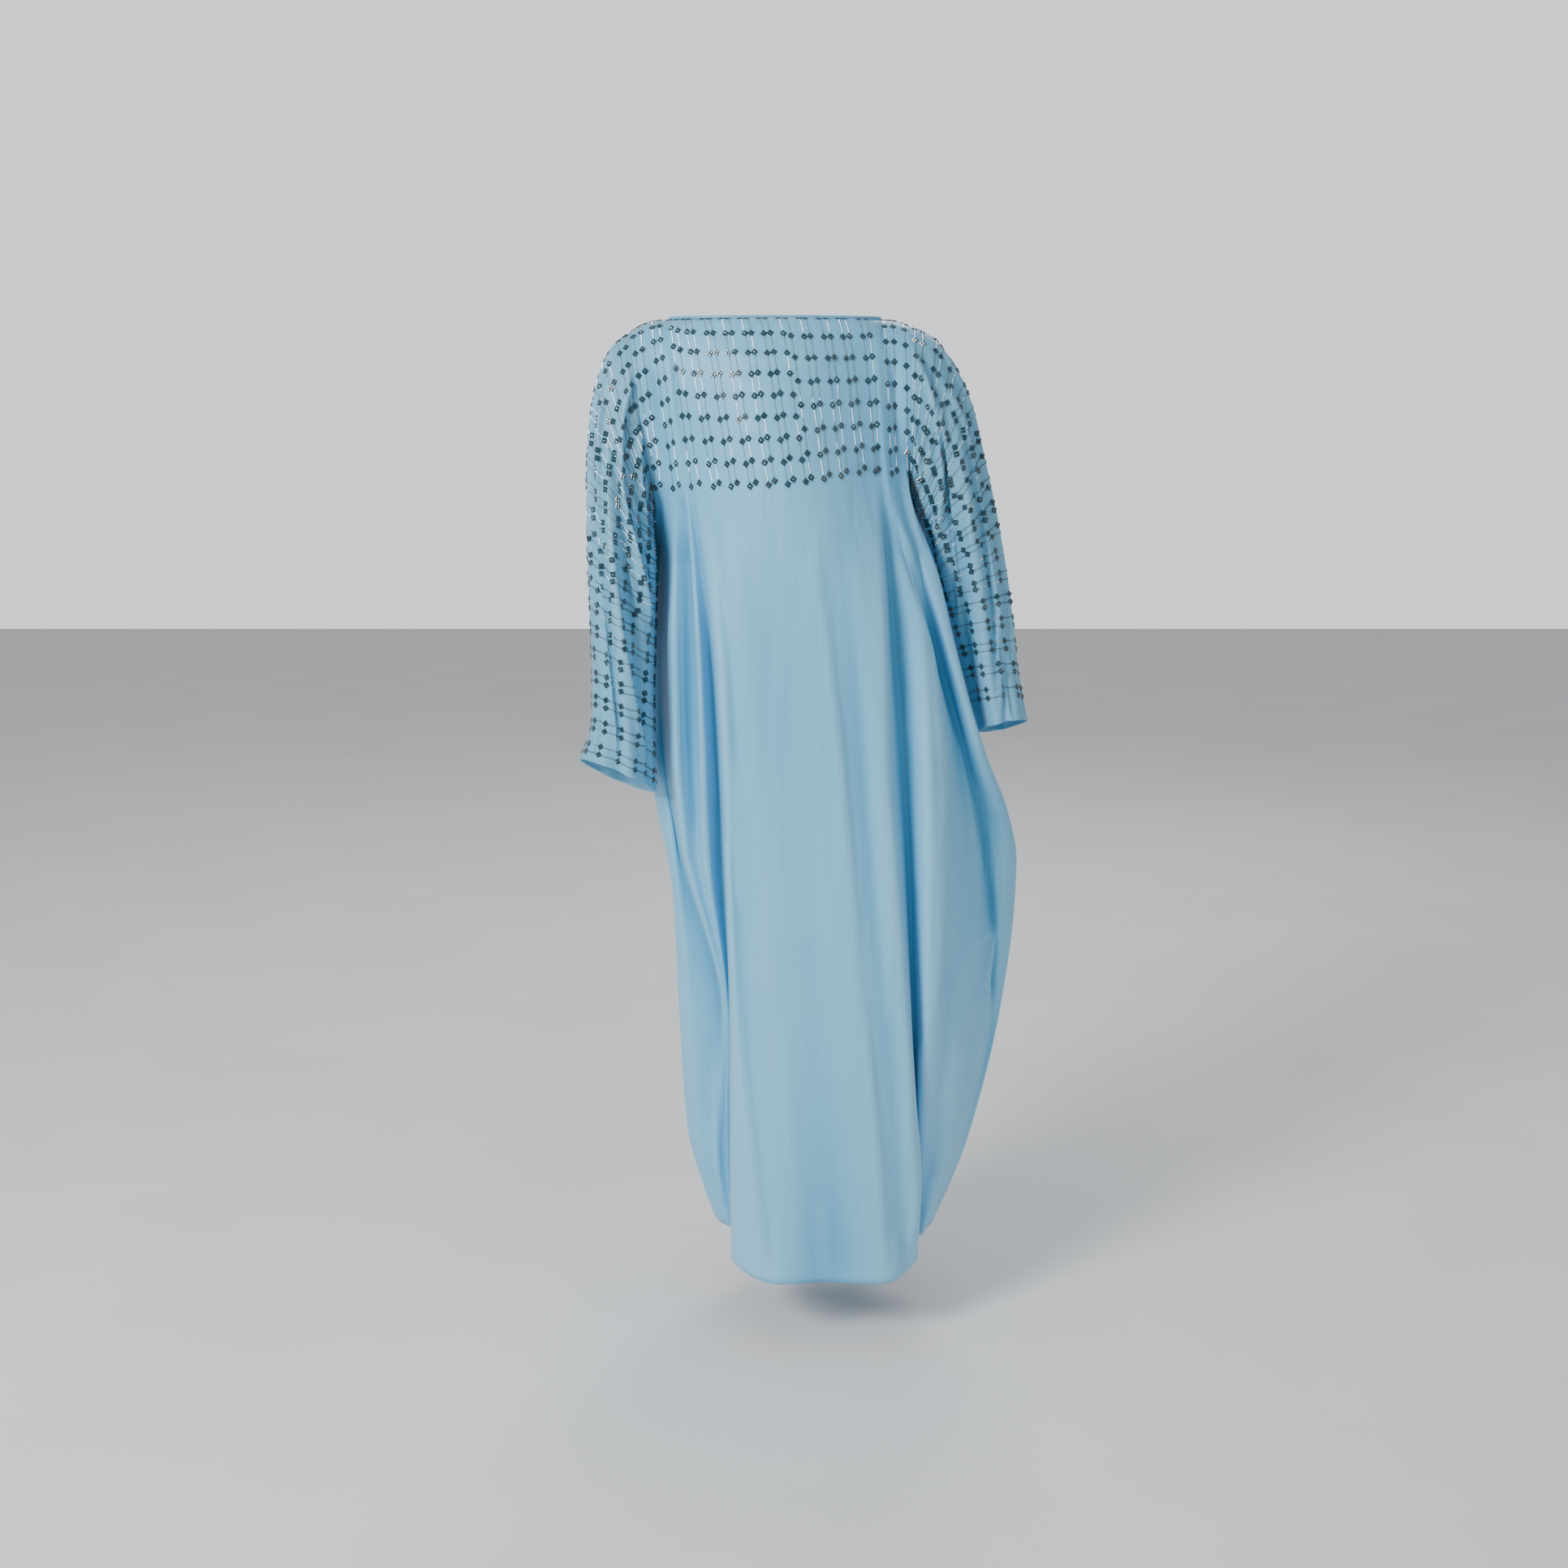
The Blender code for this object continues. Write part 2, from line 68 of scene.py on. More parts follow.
# %% Sizes of the garment and its sections
MM = 0.001
LENGTH = 1370
SEAM_GAP = 0.3
SHOULDER_ROUND = 75
ARMHOLE_DEPTH, ARMHOLE_PEAR = 80, 0.4
NECK_LEFT, NECK_RIGHT, NECK_HEIGHT = -145, 152, 1
NECK_FRONT_DEPTH, NECK_BACK_DEPTH = 74, 70
BINDING_TALL, BINDING_THICK = 5.0, 3.2
SEAM_ROLL = 12
SHELL = 0.9  # thickness of the shown cloth, less than the solid's wall
# Tips of the shoulders and the underarm points, as (across, height)
SHOULDER_TIP = {"right": (-199, -15), "left": (190, -7)}
UNDERARM = {"right": (-169, -244), "left": (193, -231)}

# Yoke: drop, depth of the middle of the front, depth of the middle of the back
YOKE_COLUMNS = ("drop", "front", "back")
YOKE = (
    (0, -98, 88),
    (110, -121, 108),
    (180, -130, 115),
    (240, -135, 119),
)

# Body below the arms: the side seams (across and depth), the middle of the front and of the
# back (depth), and how square the section is
SECTION_COLUMNS = ("drop", "right", "left", "right_depth", "left_depth", "front", "back", "square")
SECTIONS = (
    (240, -169, 193, 0, 0, -135, 119, 2.1),
    (256, -167, 198, 8, -10, -136, 120, 2.2),
    (300, -169, 216, 30, -32, -139, 122, 2.4),
    (350, -178, 234, 48, -44, -142, 125, 2.7),
    (450, -187, 259, 54, -52, -146, 130, 3.0),
    (560, -186, 290, 52, -48, -150, 135, 3.0),
    (620, -187, 311, 50, -30, -152, 138, 3.0),
    (700, -174, 344, 44, 0, -154, 142, 3.0),
    (780, -158, 360, 38, 6, -156, 144, 3.0),
    (850, -149, 358, 36, 8, -157, 146, 3.0),
    (1000, -143, 341, 32, 8, -159, 148, 3.2),
    (1200, -132, 298, 32, 8, -161, 148, 3.8),
    (1300, -108, 263, 38, 10, -162, 146, 5.0),
    (1370, -84, 233, 46, 16, -165, 144, 6.8),
)
HEM_RISE = 22  # how much shorter the hem hangs at the side seams

# Lines of the drape, right to left of the wearer. Each row gives where the line runs across at
# these drops, how far it is sunk there (a ridge is negative), and the strips up to the next line
LINE_DROPS = (240, 450, 600, 750, 1000, 1200, 1370)
LINE_COLUMNS = ("name", "across", "sunk", "strips")
FRONT_LINES = (
    ("wing", (-158, -172, -168, -149, -123, -113, -77), (0, 0, 0, 0, 12, 22, 35), 2),
    ("wing root", (-152, -160, -160, -142, -84, -86, -70), (0, 6, 10, 14, 58, 55, 75), 1),
    ("column edge", (-147, -153, -152, -136, -75, -77, -67), (0, 0, -4, -2, 50, 74, 85), 2),
    ("column ridge", (-137, -141, -139, -127, -71, -73, -65), (0, -12, -16, -12, 52, 81, 92), 2),
    ("outer valley", (-124, -116, -113, -110, -67, -70, -64), (4, 26, 24, 10, 54, 84, 96), 1),
    ("thin ridge", (-118, -104, -99, -95, -67, -69, -63), (0, -2, -2, 0, 53, 82, 96), 1),
    ("inner valley", (-112, -89, -81, -77, -65, -66, -61), (4, 32, 40, 42, 54, 82, 90), 2),
    ("centre right edge", (-105, -76, -68, -64, -60, -58, -57), (0, -6, -4, -2, 0, 0, 0), 2),
    ("right crease", (-70, -52, -51, -50, -46, -27, -5), (0, 2, 3, 2, -3, -5, -6), 3),
    ("centre field", (-10, 5, 12, 20, 35, 55, 70), (0, 2, 3, 3, 3, 2, 2), 3),
    ("pressed crease", (60, 78, 95, 109, 135, 155, 166), (0, -4, -6, -6, -6, -6, -6), 2),
    ("left field", (105, 118, 128, 140, 165, 182, 192), (0, 4, 5, 5, 4, 4, 4), 2),
    ("centre left edge", (146, 156, 160, 172, 195, 209, 215), (0, -4, -3, -2, 0, 0, 0), 2),
    ("deep valley", (156, 170, 184, 193, 204, 211, 209), (4, 24, 30, 36, 50, 76, 108), 2),
    ("left ridge", (166, 212, 219, 221, 221, 219, 214), (0, -8, -8, -4, 10, 48, 92), 2),
    ("hip field", (172, 224, 248, 262, 262, 252, 222), (0, 4, 6, 12, 14, 14, 42), 2),
    ("diagonal valley", (177, 234, 272, 310, 322, 280, 227), (0, 20, 26, 26, 8, 2, 24), 2),
    ("outer roll", (186, 247, 292, 340, 332, 290, 230), (0, -6, -6, -4, 0, 0, 10), 2),
)
BACK_LINES = (
    ("right side", (-155, -166, -160, -144, -118, -104, -62), (0, 4, 6, 8, 8, 6, 4), 2),
    ("right valley", (-135, -128, -120, -106, -84, -66, -38), (0, 18, 26, 32, 36, 36, 30), 2),
    ("right ridge", (-95, -88, -80, -70, -48, -30, -8), (0, -4, -6, -7, -8, -8, -6), 3),
    ("centre right valley", (-40, -34, -26, -12, 6, 16, 30), (0, 8, 12, 18, 22, 24, 22), 3),
    ("centre", (12, 22, 32, 44, 58, 64, 68), (0, -2, -3, -5, -6, -6, -4), 3),
    ("centre left valley", (66, 80, 92, 104, 116, 116, 110), (0, 8, 12, 16, 20, 22, 20), 3),
    ("left ridge", (116, 134, 148, 162, 168, 160, 146), (0, -4, -6, -7, -8, -8, -6), 3),
    ("left valley", (152, 184, 206, 224, 224, 208, 180), (0, 16, 24, 30, 34, 34, 28), 3),
    ("left side", (180, 230, 264, 302, 292, 258, 208), (0, 4, 6, 8, 8, 6, 4), 2),
)

# Sleeves: the outer and the inner end of each ring (across, height), its half depth, how far
# forward of the shoulder line its middle lies and how much its front is lifted
RING_COLUMNS = ("outer", "inner", "half_depth", "middle", "lift")
RIGHT_RINGS = (
    ((-199, -15), (-169, -244), 80, 0, 0),
    ((-209, -20), (-169, -247), 80, 0, 0),
    ((-228, -38), (-169, -256), 79, 0, 0),
    ((-246, -78), (-169, -272), 78, 2, 0),
    ((-258, -140), (-168, -300), 76, 6, 0),
    ((-263, -220), (-165, -340), 73, 14, 2),
    ((-263, -310), (-166, -392), 70, 24, 4),
    ((-261, -400), (-168, -455), 67, 34, 8),
    ((-258, -490), (-170, -528), 64, 42, 12),
    ((-259, -560), (-170, -596), 62, 48, 16),
    ((-277, -618), (-168, -664), 62, 52, 20),
)
LEFT_RINGS = (
    ((190, -7), (193, -231), 80, 0, 0),
    ((201, -9), (194, -234), 80, 0, 0),
    ((224, -20), (196, -241), 79, -2, 0),
    ((252, -54), (200, -254), 78, -6, 0),
    ((280, -112), (207, -276), 76, -12, 0),
    ((300, -188), (216, -308), 73, -20, 2),
    ((322, -276), (227, -350), 70, -28, 4),
    ((340, -370), (243, -402), 67, -30, 8),
    ((352, -450), (261, -464), 64, -24, 12),
    ((362, -520), (280, -528), 62, -14, 14),
    ((371, -570), (298, -584), 62, -4, 16),
)

# Folds that run down a sleeve: where each lies round the ring at the top, middle and cuff (0 is
# outside, 90 front, 180 inside, 270 back), its spread, how far it is sunk, and where it begins
FOLD_COLUMNS = ("turns", "spread", "sunk", "start")
RIGHT_FOLDS = (
    ((25, 95, 165), 13, 5, 0.05),
    ((52, 58, 92), 12, 7, 0.25),
    ((62, 76, 112), 14, -6, 0.25),
    ((78, 100, 150), 13, 7, 0.3),
    ((300, 296, 288), 16, 7, 0.1),
    ((250, 246, 240), 18, 6, 0.15),
)
LEFT_FOLDS = (
    ((25, 100, 160), 13, 5, 0.05),
    ((88, 100, 150), 12, 7, 0.15),
    ((60, 72, 112), 14, -6, 0.2),
    ((42, 52, 92), 12, 7, 0.2),
    ((300, 296, 288), 16, 7, 0.1),
    ((250, 246, 240), 18, 6, 0.15),
)


def named(columns, rows):
    """Rows of a table as dictionaries, so that a value is read by the name of its column."""
    return [dict(zip(columns, row)) for row in rows]


def mix(a, b, share):
    return a + (b - a) * share


def slopes(stops, values):
    """Slope at each stop that never lets the curve through the values overshoot them."""
    steps = [
        (values[i + 1] - values[i]) / (stops[i + 1] - stops[i]) for i in range(len(stops) - 1)
    ]
    inner = [
        0 if a * b <= 0 else 2 * a * b / (a + b) for a, b in zip(steps, steps[1:])
    ]
    return [steps[0], *inner, steps[-1]]


def glide(stops, values, at):
    """Value at a place between the stops, on a smooth curve through all of them."""
    at = min(max(at, stops[0]), stops[-1])
    i = max(k for k in range(len(stops) - 1) if stops[k] <= at)
    span = stops[i + 1] - stops[i]
    t = (at - stops[i]) / span
    m = slopes(stops, values)
    return (
        values[i] * (1 + 2 * t) * (1 - t) ** 2
        + values[i + 1] * t * t * (3 - 2 * t)
        + m[i] * span * t * (1 - t) ** 2
        - m[i + 1] * span * t * t * (1 - t)
    )


def table_at(rows, column, drop):
    return glide([r["drop"] for r in rows], [r[column] for r in rows], drop)


def knot_gap(a, b):
    return max(math.dist(a, b), 1e-6) ** 0.5


def curve_through(points, strips):
    """Points on a smooth curve through all the points, with so many strips between each two."""
    first = tuple(2 * a - b for a, b in zip(points[0], points[1]))
    last = tuple(2 * a - b for a, b in zip(points[-1], points[-2]))
    padded = [first, *points, last]
    found = [points[0]]
    for i, count in enumerate(strips):
        p0, p1, p2, p3 = padded[i : i + 4]
        d1, d2, d3 = knot_gap(p0, p1), knot_gap(p1, p2), knot_gap(p2, p3)
        for k in range(1, count + 1):
            t = k / count
            point = []
            for a, b, c, d in zip(p0, p1, p2, p3):
                into = ((b - a) / d1 - (c - a) / (d1 + d2) + (c - b) / d2) * d2
                out = ((c - b) / d2 - (d - b) / (d2 + d3) + (d - c) / d3) * d2
                point.append(
                    b * (1 + 2 * t) * (1 - t) ** 2
                    + c * t * t * (3 - 2 * t)
                    + into * t * (1 - t) ** 2
                    - out * t * t * (1 - t)
                )
            found.append(tuple(point))
    return found


def plain_depth(across, drop, face):
    """Depth of the body without folds: face is "front" or "back"."""
    rows = named(SECTION_COLUMNS, SECTIONS)
    right, left = (table_at(rows, side, drop) for side in ("right", "left"))
    share = (across - right) / (left - right)
    seam = mix(table_at(rows, "right_depth", drop), table_at(rows, "left_depth", drop), share)
    fullness = 1 - abs(2 * share - 1) ** table_at(rows, "square", drop)
    return mix(seam, table_at(rows, face, drop), max(fullness, 0))


def section(drop, face, lines):
    """The front's or the back's curve at one drop, from side seam to side seam: (across, depth)."""
    rows = named(SECTION_COLUMNS, SECTIONS)
    outwards = -1 if face == "front" else 1
    gap = outwards * SEAM_GAP / 2
    ends = [
        (table_at(rows, side, drop), table_at(rows, side + "_depth", drop) + gap)
        for side in ("right", "left")
    ]
    settled = min(max((drop - LINE_DROPS[0]) / SHOULDER_ROUND, 0), 1)
    points = [ends[0], (ends[0][0] + 0.6, ends[0][1] + outwards * SEAM_ROLL * settled)]
    for line in lines:
        across = glide(LINE_DROPS, line["across"], drop)
        sunk = glide(LINE_DROPS, line["sunk"], drop)
        points.append((across, plain_depth(across, drop, face) - outwards * sunk))
    points += [(ends[1][0] - 0.6, ends[1][1] + outwards * SEAM_ROLL * settled), ends[1]]
    if not settled:
        del points[-2], points[1]
    return points


def strips_across(lines):
    return [1, 2, *(line["strips"] for line in lines), 1]


def armhole(side, turn, face):
    """Point on the armhole's edge: turn is 0 at the shoulder and pi at the underarm."""
    share = (1 - math.cos(turn)) / 2
    across, height = (mix(a, b, share) for a, b in zip(SHOULDER_TIP[side], UNDERARM[side]))
    depth = ARMHOLE_DEPTH * math.sin(turn) * (1 - ARMHOLE_PEAR * share)
    return across, (-depth if face == "front" else depth), height


def top_edge(across, face):
    """Depth and height of the panel's top: the neckline, and the shoulder seams beside it."""
    outwards = -1 if face == "front" else 1
    if NECK_LEFT < across < NECK_RIGHT:
        middle, half = (NECK_LEFT + NECK_RIGHT) / 2, (NECK_RIGHT - NECK_LEFT) / 2
        reach = NECK_FRONT_DEPTH if face == "front" else NECK_BACK_DEPTH
        bow = math.sqrt(1 - ((across - middle) / half) ** 2)
        return outwards * max(reach * bow, SEAM_GAP / 2), NECK_HEIGHT
    neck, side = (NECK_LEFT, "right") if across < 0 else (NECK_RIGHT, "left")
    tip, height = SHOULDER_TIP[side]
    fall = ((across - neck) / (tip - neck)) ** 2.5
    return outwards * SEAM_GAP / 2, mix(NECK_HEIGHT, height, fall)


def yoke_row(turn, face, shares):
    """One row of a panel above the underarm, from armhole to armhole."""
    rows = named(YOKE_COLUMNS, YOKE)
    right, left = (armhole(side, turn, face) for side in ("right", "left"))
    down = (1 - math.cos(turn)) / 2
    outwards = -1 if face == "front" else 1
    found = []
    for share in shares:
        tops = (SHOULDER_TIP["right"][0], SHOULDER_TIP["left"][0])
        top_depth, top_height = top_edge(mix(*tops, share), face)
        bottom = mix(UNDERARM["right"][1], UNDERARM["left"][1], share)
        height = mix(top_height, bottom, down)
        drop = top_height - height
        turned = math.sqrt(1 - (1 - min(max(drop, 0.01) / SHOULDER_ROUND, 1)) ** 2)
        edge = outwards * max(abs(right[1]), 1) / turned
        square = SECTIONS[0][SECTION_COLUMNS.index("square")]
        sideways = abs(2 * share - 1)
        depth = table_at(rows, face, drop) * (1 - sideways**square) + edge * sideways**4
        depth = mix(top_depth, depth, turned)
        found.append((mix(right[0], left[0], share), depth, height))
    return found


# %% [markdown]
# The same sections, taken at closer steps, give a smooth cloth. Above the underarm a panel's rows
# run from armhole to armhole; below it they run from side seam to side seam.

# %% Fine grids of the front and the back
FINER = 3  # strips across for each one of the solid
YOKE_FINE, SKIRT_FINE = 56, 120  # rows of the yoke and of the skirt
SECTION_LEVELS = 90  # sections worked out below the underarm, with the rows between them
CROWDING = 1.05  # rows lie a little closer below the underarm
SKIRT_DROP = 1130  # from the underarm to the hem
HEM_TURN = 12  # depth of the turned hem
EASE_ABOVE, EASE_BELOW = 40, 90  # where the folds' growth is eased, round the underarm's height


def fine_section(drop, face, lines):
    """The section's curve in fine strips. The first level lies just below the underarm."""
    points = section(max(drop, LINE_DROPS[0] + 1), face, lines)
    return curve_through(points, [FINER * n for n in strips_across(lines)])


def eased_under_arm(grid, starts):
    """Lets the folds grow gently from the yoke, so that no line shows where they begin."""
    inner = np.minimum(np.arange(grid.shape[1]), np.arange(grid.shape[1])[::-1])
    stops = (-EASE_ABOVE - 30, -EASE_ABOVE, EASE_BELOW, EASE_BELOW + 40)
    for c in range(3, grid.shape[1] - 3):
        below = -grid[:, c, 2] - starts[c]
        share = min((inner[c] - 2) / 5, 1)
        for k in (0, 1):
            known = [np.interp(stop, below, grid[:, c, k]) for stop in stops]
            for r in np.flatnonzero((below > -EASE_ABOVE) & (below < EASE_BELOW)):
                grid[r, c, k] = mix(grid[r, c, k], glide(stops, known, below[r]), share)
    return grid


def panel_grid(face, lines):
    """Points of a panel in metres, as an array of rows, columns and coordinates."""
    lines = named(LINE_COLUMNS, lines)
    levels = np.linspace(LINE_DROPS[0], LENGTH, SECTION_LEVELS)
    sections = np.array([fine_section(level, face, lines) for level in levels])
    under = sections[0, :, 0]
    shares = (under - under[0]) / (under[-1] - under[0])
    yoke = np.array([yoke_row(math.pi * r / YOKE_FINE, face, shares) for r in range(YOKE_FINE)])
    starts = -mix(UNDERARM["right"][1], UNDERARM["left"][1], shares)
    hems = LENGTH - HEM_RISE * np.abs(2 * shares - 1) ** 4
    steps = np.linspace(0, 1, SKIRT_FINE) ** CROWDING
    near_hem = [1 - d / SKIRT_DROP for d in (HEM_TURN + 1, HEM_TURN, HEM_TURN - 1)]
    steps = np.sort(np.concatenate([steps, near_hem]))
    drops = starts + (hems - starts) * steps[:, None]
    skirt = np.empty((*drops.shape, 3))
    for c in range(drops.shape[1]):
        for k in (0, 1):
            skirt[:, c, k] = np.interp(drops[:, c], levels, sections[:, c, k])
    skirt[:, :, 2] = -drops
    return eased_under_arm(np.concatenate([yoke, skirt]), starts) * MM


front_grid = panel_grid("front", FRONT_LINES)
back_grid = panel_grid("back", BACK_LINES)
print("front grid", front_grid.shape, "back grid", back_grid.shape)

# %% [markdown]
# A sleeve is a row of rings. Each ring joins a point on the outside of the arm to one on the
# inside, so the rings stand upright at the armhole and turn until they lie flat at the cuff.

# %% Fine grids of the sleeves
RING_STRIPS = 144
RING_PLACES = [*np.linspace(0, 0.97, 112, endpoint=False), *np.linspace(0.97, 1, 13)]


def fold_depth(folds, along, turns):
    """How far all folds together push the sleeve's cloth in, at each turn of one ring."""
    depth = np.zeros_like(turns)
    for fold in folds:
        centre = glide((0, 0.5, 1), fold["turns"], along)
        away = (turns - centre + 180) % 360 - 180
        grown = min(max((along - fold["start"]) / 0.3, 0), 1)
        depth += fold["sunk"] * grown * np.exp(-((away / fold["spread"]) ** 2))
    return depth


def sleeve_grid(rings, folds, outwards):
    rings, folds = named(RING_COLUMNS, rings), named(FOLD_COLUMNS, folds)
    stops = list(range(len(rings)))
    turns = np.arange(RING_STRIPS) * 360 / RING_STRIPS
    cos, sin = np.cos(np.radians(turns)), np.sin(np.radians(turns))
    grid = []
    for along in RING_PLACES:
        at = along * stops[-1]
        outer, inner = (
            [glide(stops, [ring[end][k] for ring in rings], at) for k in (0, 1)]
            for end in ("outer", "inner")
        )
        half, middle, lift = (
            glide(stops, [ring[name] for ring in rings], at)
            for name in ("half_depth", "middle", "lift")
        )
        reach = 1 - fold_depth(folds, along, turns) / half
        across, height = (
            (o + i) / 2 + (o - i) / 2 * cos * reach for o, i in zip(outer, inner)
        )
        pear = 1 - ARMHOLE_PEAR * (1 - cos) / 2 * (1 - along) ** 2
        depth = -middle - half * sin * reach * pear
        grid.append(np.stack([across + outwards * SEAM_GAP, depth, height + lift * sin], axis=1))
    return np.array(grid) * MM


right_grid = sleeve_grid(RIGHT_RINGS, RIGHT_FOLDS, -1)
left_grid = sleeve_grid(LEFT_RINGS, LEFT_FOLDS, 1)
print("sleeve grids", right_grid.shape, left_grid.shape)

# %% [markdown]
# Satin breaks into small sharp folds that the solids leave out. Each one is a line with a width and
# a height. The profile leans: one flank rises slowly and the other drops at once, because a fold
# that hangs always rolls over to one side.

# %% Creases pressed into a grid
CREASE_COLUMNS = ("name", "runs", "path", "wide", "high", "lean")
FRONT_CREASES = (
    ("pressed line", "down", ((250, 60), (350, 64), (450, 78), (600, 96), (900, 120), (1050, 140),
        (1200, 155), (1376, 166)), 6, 3.4, 0.6),
    ("pressed line shade", "down", ((300, 74), (450, 90), (600, 109), (900, 133), (1200, 168),
        (1376, 178)), 9, -2.6, 0.0),
    ("right line", "down", ((700, -62), (900, -54), (1050, -43), (1200, -27), (1300, -13),
        (1376, -4)), 7, 4.4, 0.7),
    ("right line shade", "down", ((780, -48), (1050, -32), (1200, -16), (1376, 8)), 9, -3.4, 0.0),
    ("right hip roll", "down", ((262, -66), (420, -36), (700, -14), (980, 2)), 24, 4.0, 0.3),
    ("right chest tuck", "down", ((246, -84), (330, -72), (470, -56), (640, -46)), 8, -4.0, 0.5),
    ("left hip roll", "down", ((300, 112), (520, 134), (760, 152), (1000, 172)), 16, 3.8, -0.4),
    ("knee roll", "down", ((820, 52), (1020, 70), (1240, 92), (1376, 108)), 22, -3.6, 0.0),
    ("shin roll", "down", ((960, 10), (1150, 26), (1376, 44)), 18, 3.4, 0.3),
    ("column pleat", "down", ((256, -134), (420, -137), (620, -135), (800, -120)), 6, 5.0, 0.7),
    ("column tuck", "down", ((270, -122), (420, -118), (600, -116), (760, -112)), 5, -5.0, 0.6),
    ("wing pleat", "down", ((640, -160), (820, -138), (1010, -118), (1180, -112)), 7, 4.4, 0.6),
    ("wing tuck", "down", ((1010, -92), (1120, -104), (1240, -98), (1330, -86)), 6, -4.4, 0.5),
    ("wing fold", "down", ((880, -122), (1000, -128), (1130, -122), (1260, -104)), 6, 3.6, 0.6),
    ("wing wrinkle", "across", ((-118, 1228), (-96, 1244), (-76, 1272)), 5, 3.4, 0.5),
    ("wing wrinkle low", "across", ((-108, 1284), (-88, 1292), (-72, 1312)), 5, 3.2, 0.4),
    ("left chest tuck", "down", ((236, 152), (300, 160), (420, 172), (560, 184)), 8, -4.4, -0.5),
    ("left pleat", "down", ((260, 176), (350, 200), (450, 222), (620, 240), (820, 240),
        (1000, 230)), 8, 5.0, -0.7),
    ("left diagonal", "down", ((262, 168), (350, 199), (450, 232), (600, 276), (750, 311),
        (900, 331), (1010, 326)), 8, -6.5, 0.7),
    ("left pleat low", "down", ((560, 262), (700, 284), (840, 292), (1000, 278), (1180, 256)), 9,
        4.6, -0.6),
    ("left edge pleat", "down", ((660, 312), (860, 332), (1008, 314), (1140, 290)), 7, 4.0, 0.6),
    ("left low tuck", "down", ((860, 262), (1000, 256), (1140, 244), (1280, 226)), 8, -4.2, 0.4),
    ("left low fold", "down", ((1000, 214), (1120, 216), (1240, 212), (1360, 200)), 8, 4.0, -0.5),
    ("left wrinkle", "across", ((262, 1148), (284, 1152), (300, 1146)), 4, 3.2, 0.5),
    ("left wrinkle high", "across", ((268, 872), (300, 886), (334, 878)), 5, 3.0, 0.4),
    ("left wrinkle mid", "across", ((282, 968), (306, 982), (330, 972)), 5, 2.8, 0.4),
    ("left wrinkle low", "across", ((236, 1236), (262, 1246), (282, 1238)), 5, 3.0, 0.5),
    ("yoke drape", "across", ((-96, 34), (-30, 56), (60, 60), (132, 36)), 11, 3.4, 0.6),
    ("yoke drape middle", "across", ((-70, 84), (0, 100), (80, 94), (128, 78)), 12, 2.8, 0.5),
    ("yoke drape low", "across", ((-60, 140), (10, 158), (90, 150)), 14, 2.4, 0.4),
    ("yoke right pull", "down", ((14, -146), (90, -138), (190, -126), (262, -122)), 9, 4.6, 0.6),
    ("yoke right tuck", "down", ((30, -166), (110, -158), (220, -146)), 8, -4.0, 0.5),
    ("yoke left pull", "down", ((20, 140), (110, 146), (210, 156), (290, 168)), 10, 5.0, -0.6),
    ("yoke left tuck", "down", ((36, 164), (110, 170), (200, 178)), 8, -4.6, -0.5),
    ("hem wave", "down", ((1250, -14), (1376, -8)), 8, -3.6, 0.0),
    ("hem wave left", "down", ((1290, 176), (1376, 186)), 9, 3.2, 0.3),
    ("hem wave middle", "down", ((1230, 72), (1376, 78)), 9, 2.8, 0.2),
)
BACK_CREASES = (
    ("right shoulder pull", "down", ((18, -142), (110, -130), (230, -112), (420, -104)),
        11, 4.6, 0.5),
    ("right shoulder tuck", "down", ((40, -164), (130, -152), (250, -134), (360, -128)),
        8, -4.2, 0.5),
    ("left shoulder pull", "down", ((18, 148), (120, 140), (230, 136), (420, 152)), 12, 4.6, -0.5),
    ("left shoulder tuck", "down", ((36, 170), (140, 162), (250, 160), (380, 178)), 8, -4.4, -0.5),
    ("yoke drape", "across", ((-84, 44), (-10, 62), (100, 46)), 12, 2.8, 0.5),
    ("yoke drape low", "across", ((-60, 118), (16, 136), (96, 122)), 13, 2.2, 0.4),
    ("right roll", "down", ((300, -72), (520, -58), (820, -36), (1160, -12), (1376, 4)),
        15, 5.2, 0.5),
    ("right roll shade", "down", ((340, -50), (560, -36), (860, -14), (1200, 12)), 10, -3.8, 0.0),
    ("middle roll", "down", ((380, 20), (640, 36), (940, 50), (1376, 62)), 18, 4.2, -0.4),
    ("middle tuck", "down", ((560, -2), (900, 22), (1376, 40)), 8, -3.8, 0.4),
    ("left roll", "down", ((320, 124), (560, 146), (860, 164), (1376, 148)), 15, 5.4, -0.5),
    ("left tuck", "down", ((480, 196), (760, 222), (1040, 220), (1300, 196)), 9, -4.4, 0.4),
    ("left diagonal", "down", ((280, 186), (420, 226), (600, 268), (800, 296), (960, 300)),
        9, 4.8, 0.6),
    ("left edge pleat", "down", ((640, 268), (820, 300), (1000, 288), (1200, 262)), 8, 4.0, 0.6),
    ("right column pleat", "down", ((270, -136), (480, -142), (700, -130), (900, -112)),
        7, 4.8, 0.6),
    ("right edge pleat", "down", ((620, -152), (800, -132), (1000, -114), (1260, -94)),
        8, 4.0, 0.6),
    ("wrinkle", "across", ((232, 1004), (262, 1018), (292, 1006)), 5, 3.0, 0.5),
    ("wrinkle low", "across", ((-96, 1190), (-70, 1204), (-46, 1232)), 5, 3.0, 0.5),
    ("hem wave", "down", ((1230, 96), (1376, 92)), 9, 3.6, 0.2),
    ("hem wave right", "down", ((1260, -30), (1376, -36)), 8, -3.2, 0.2),
)
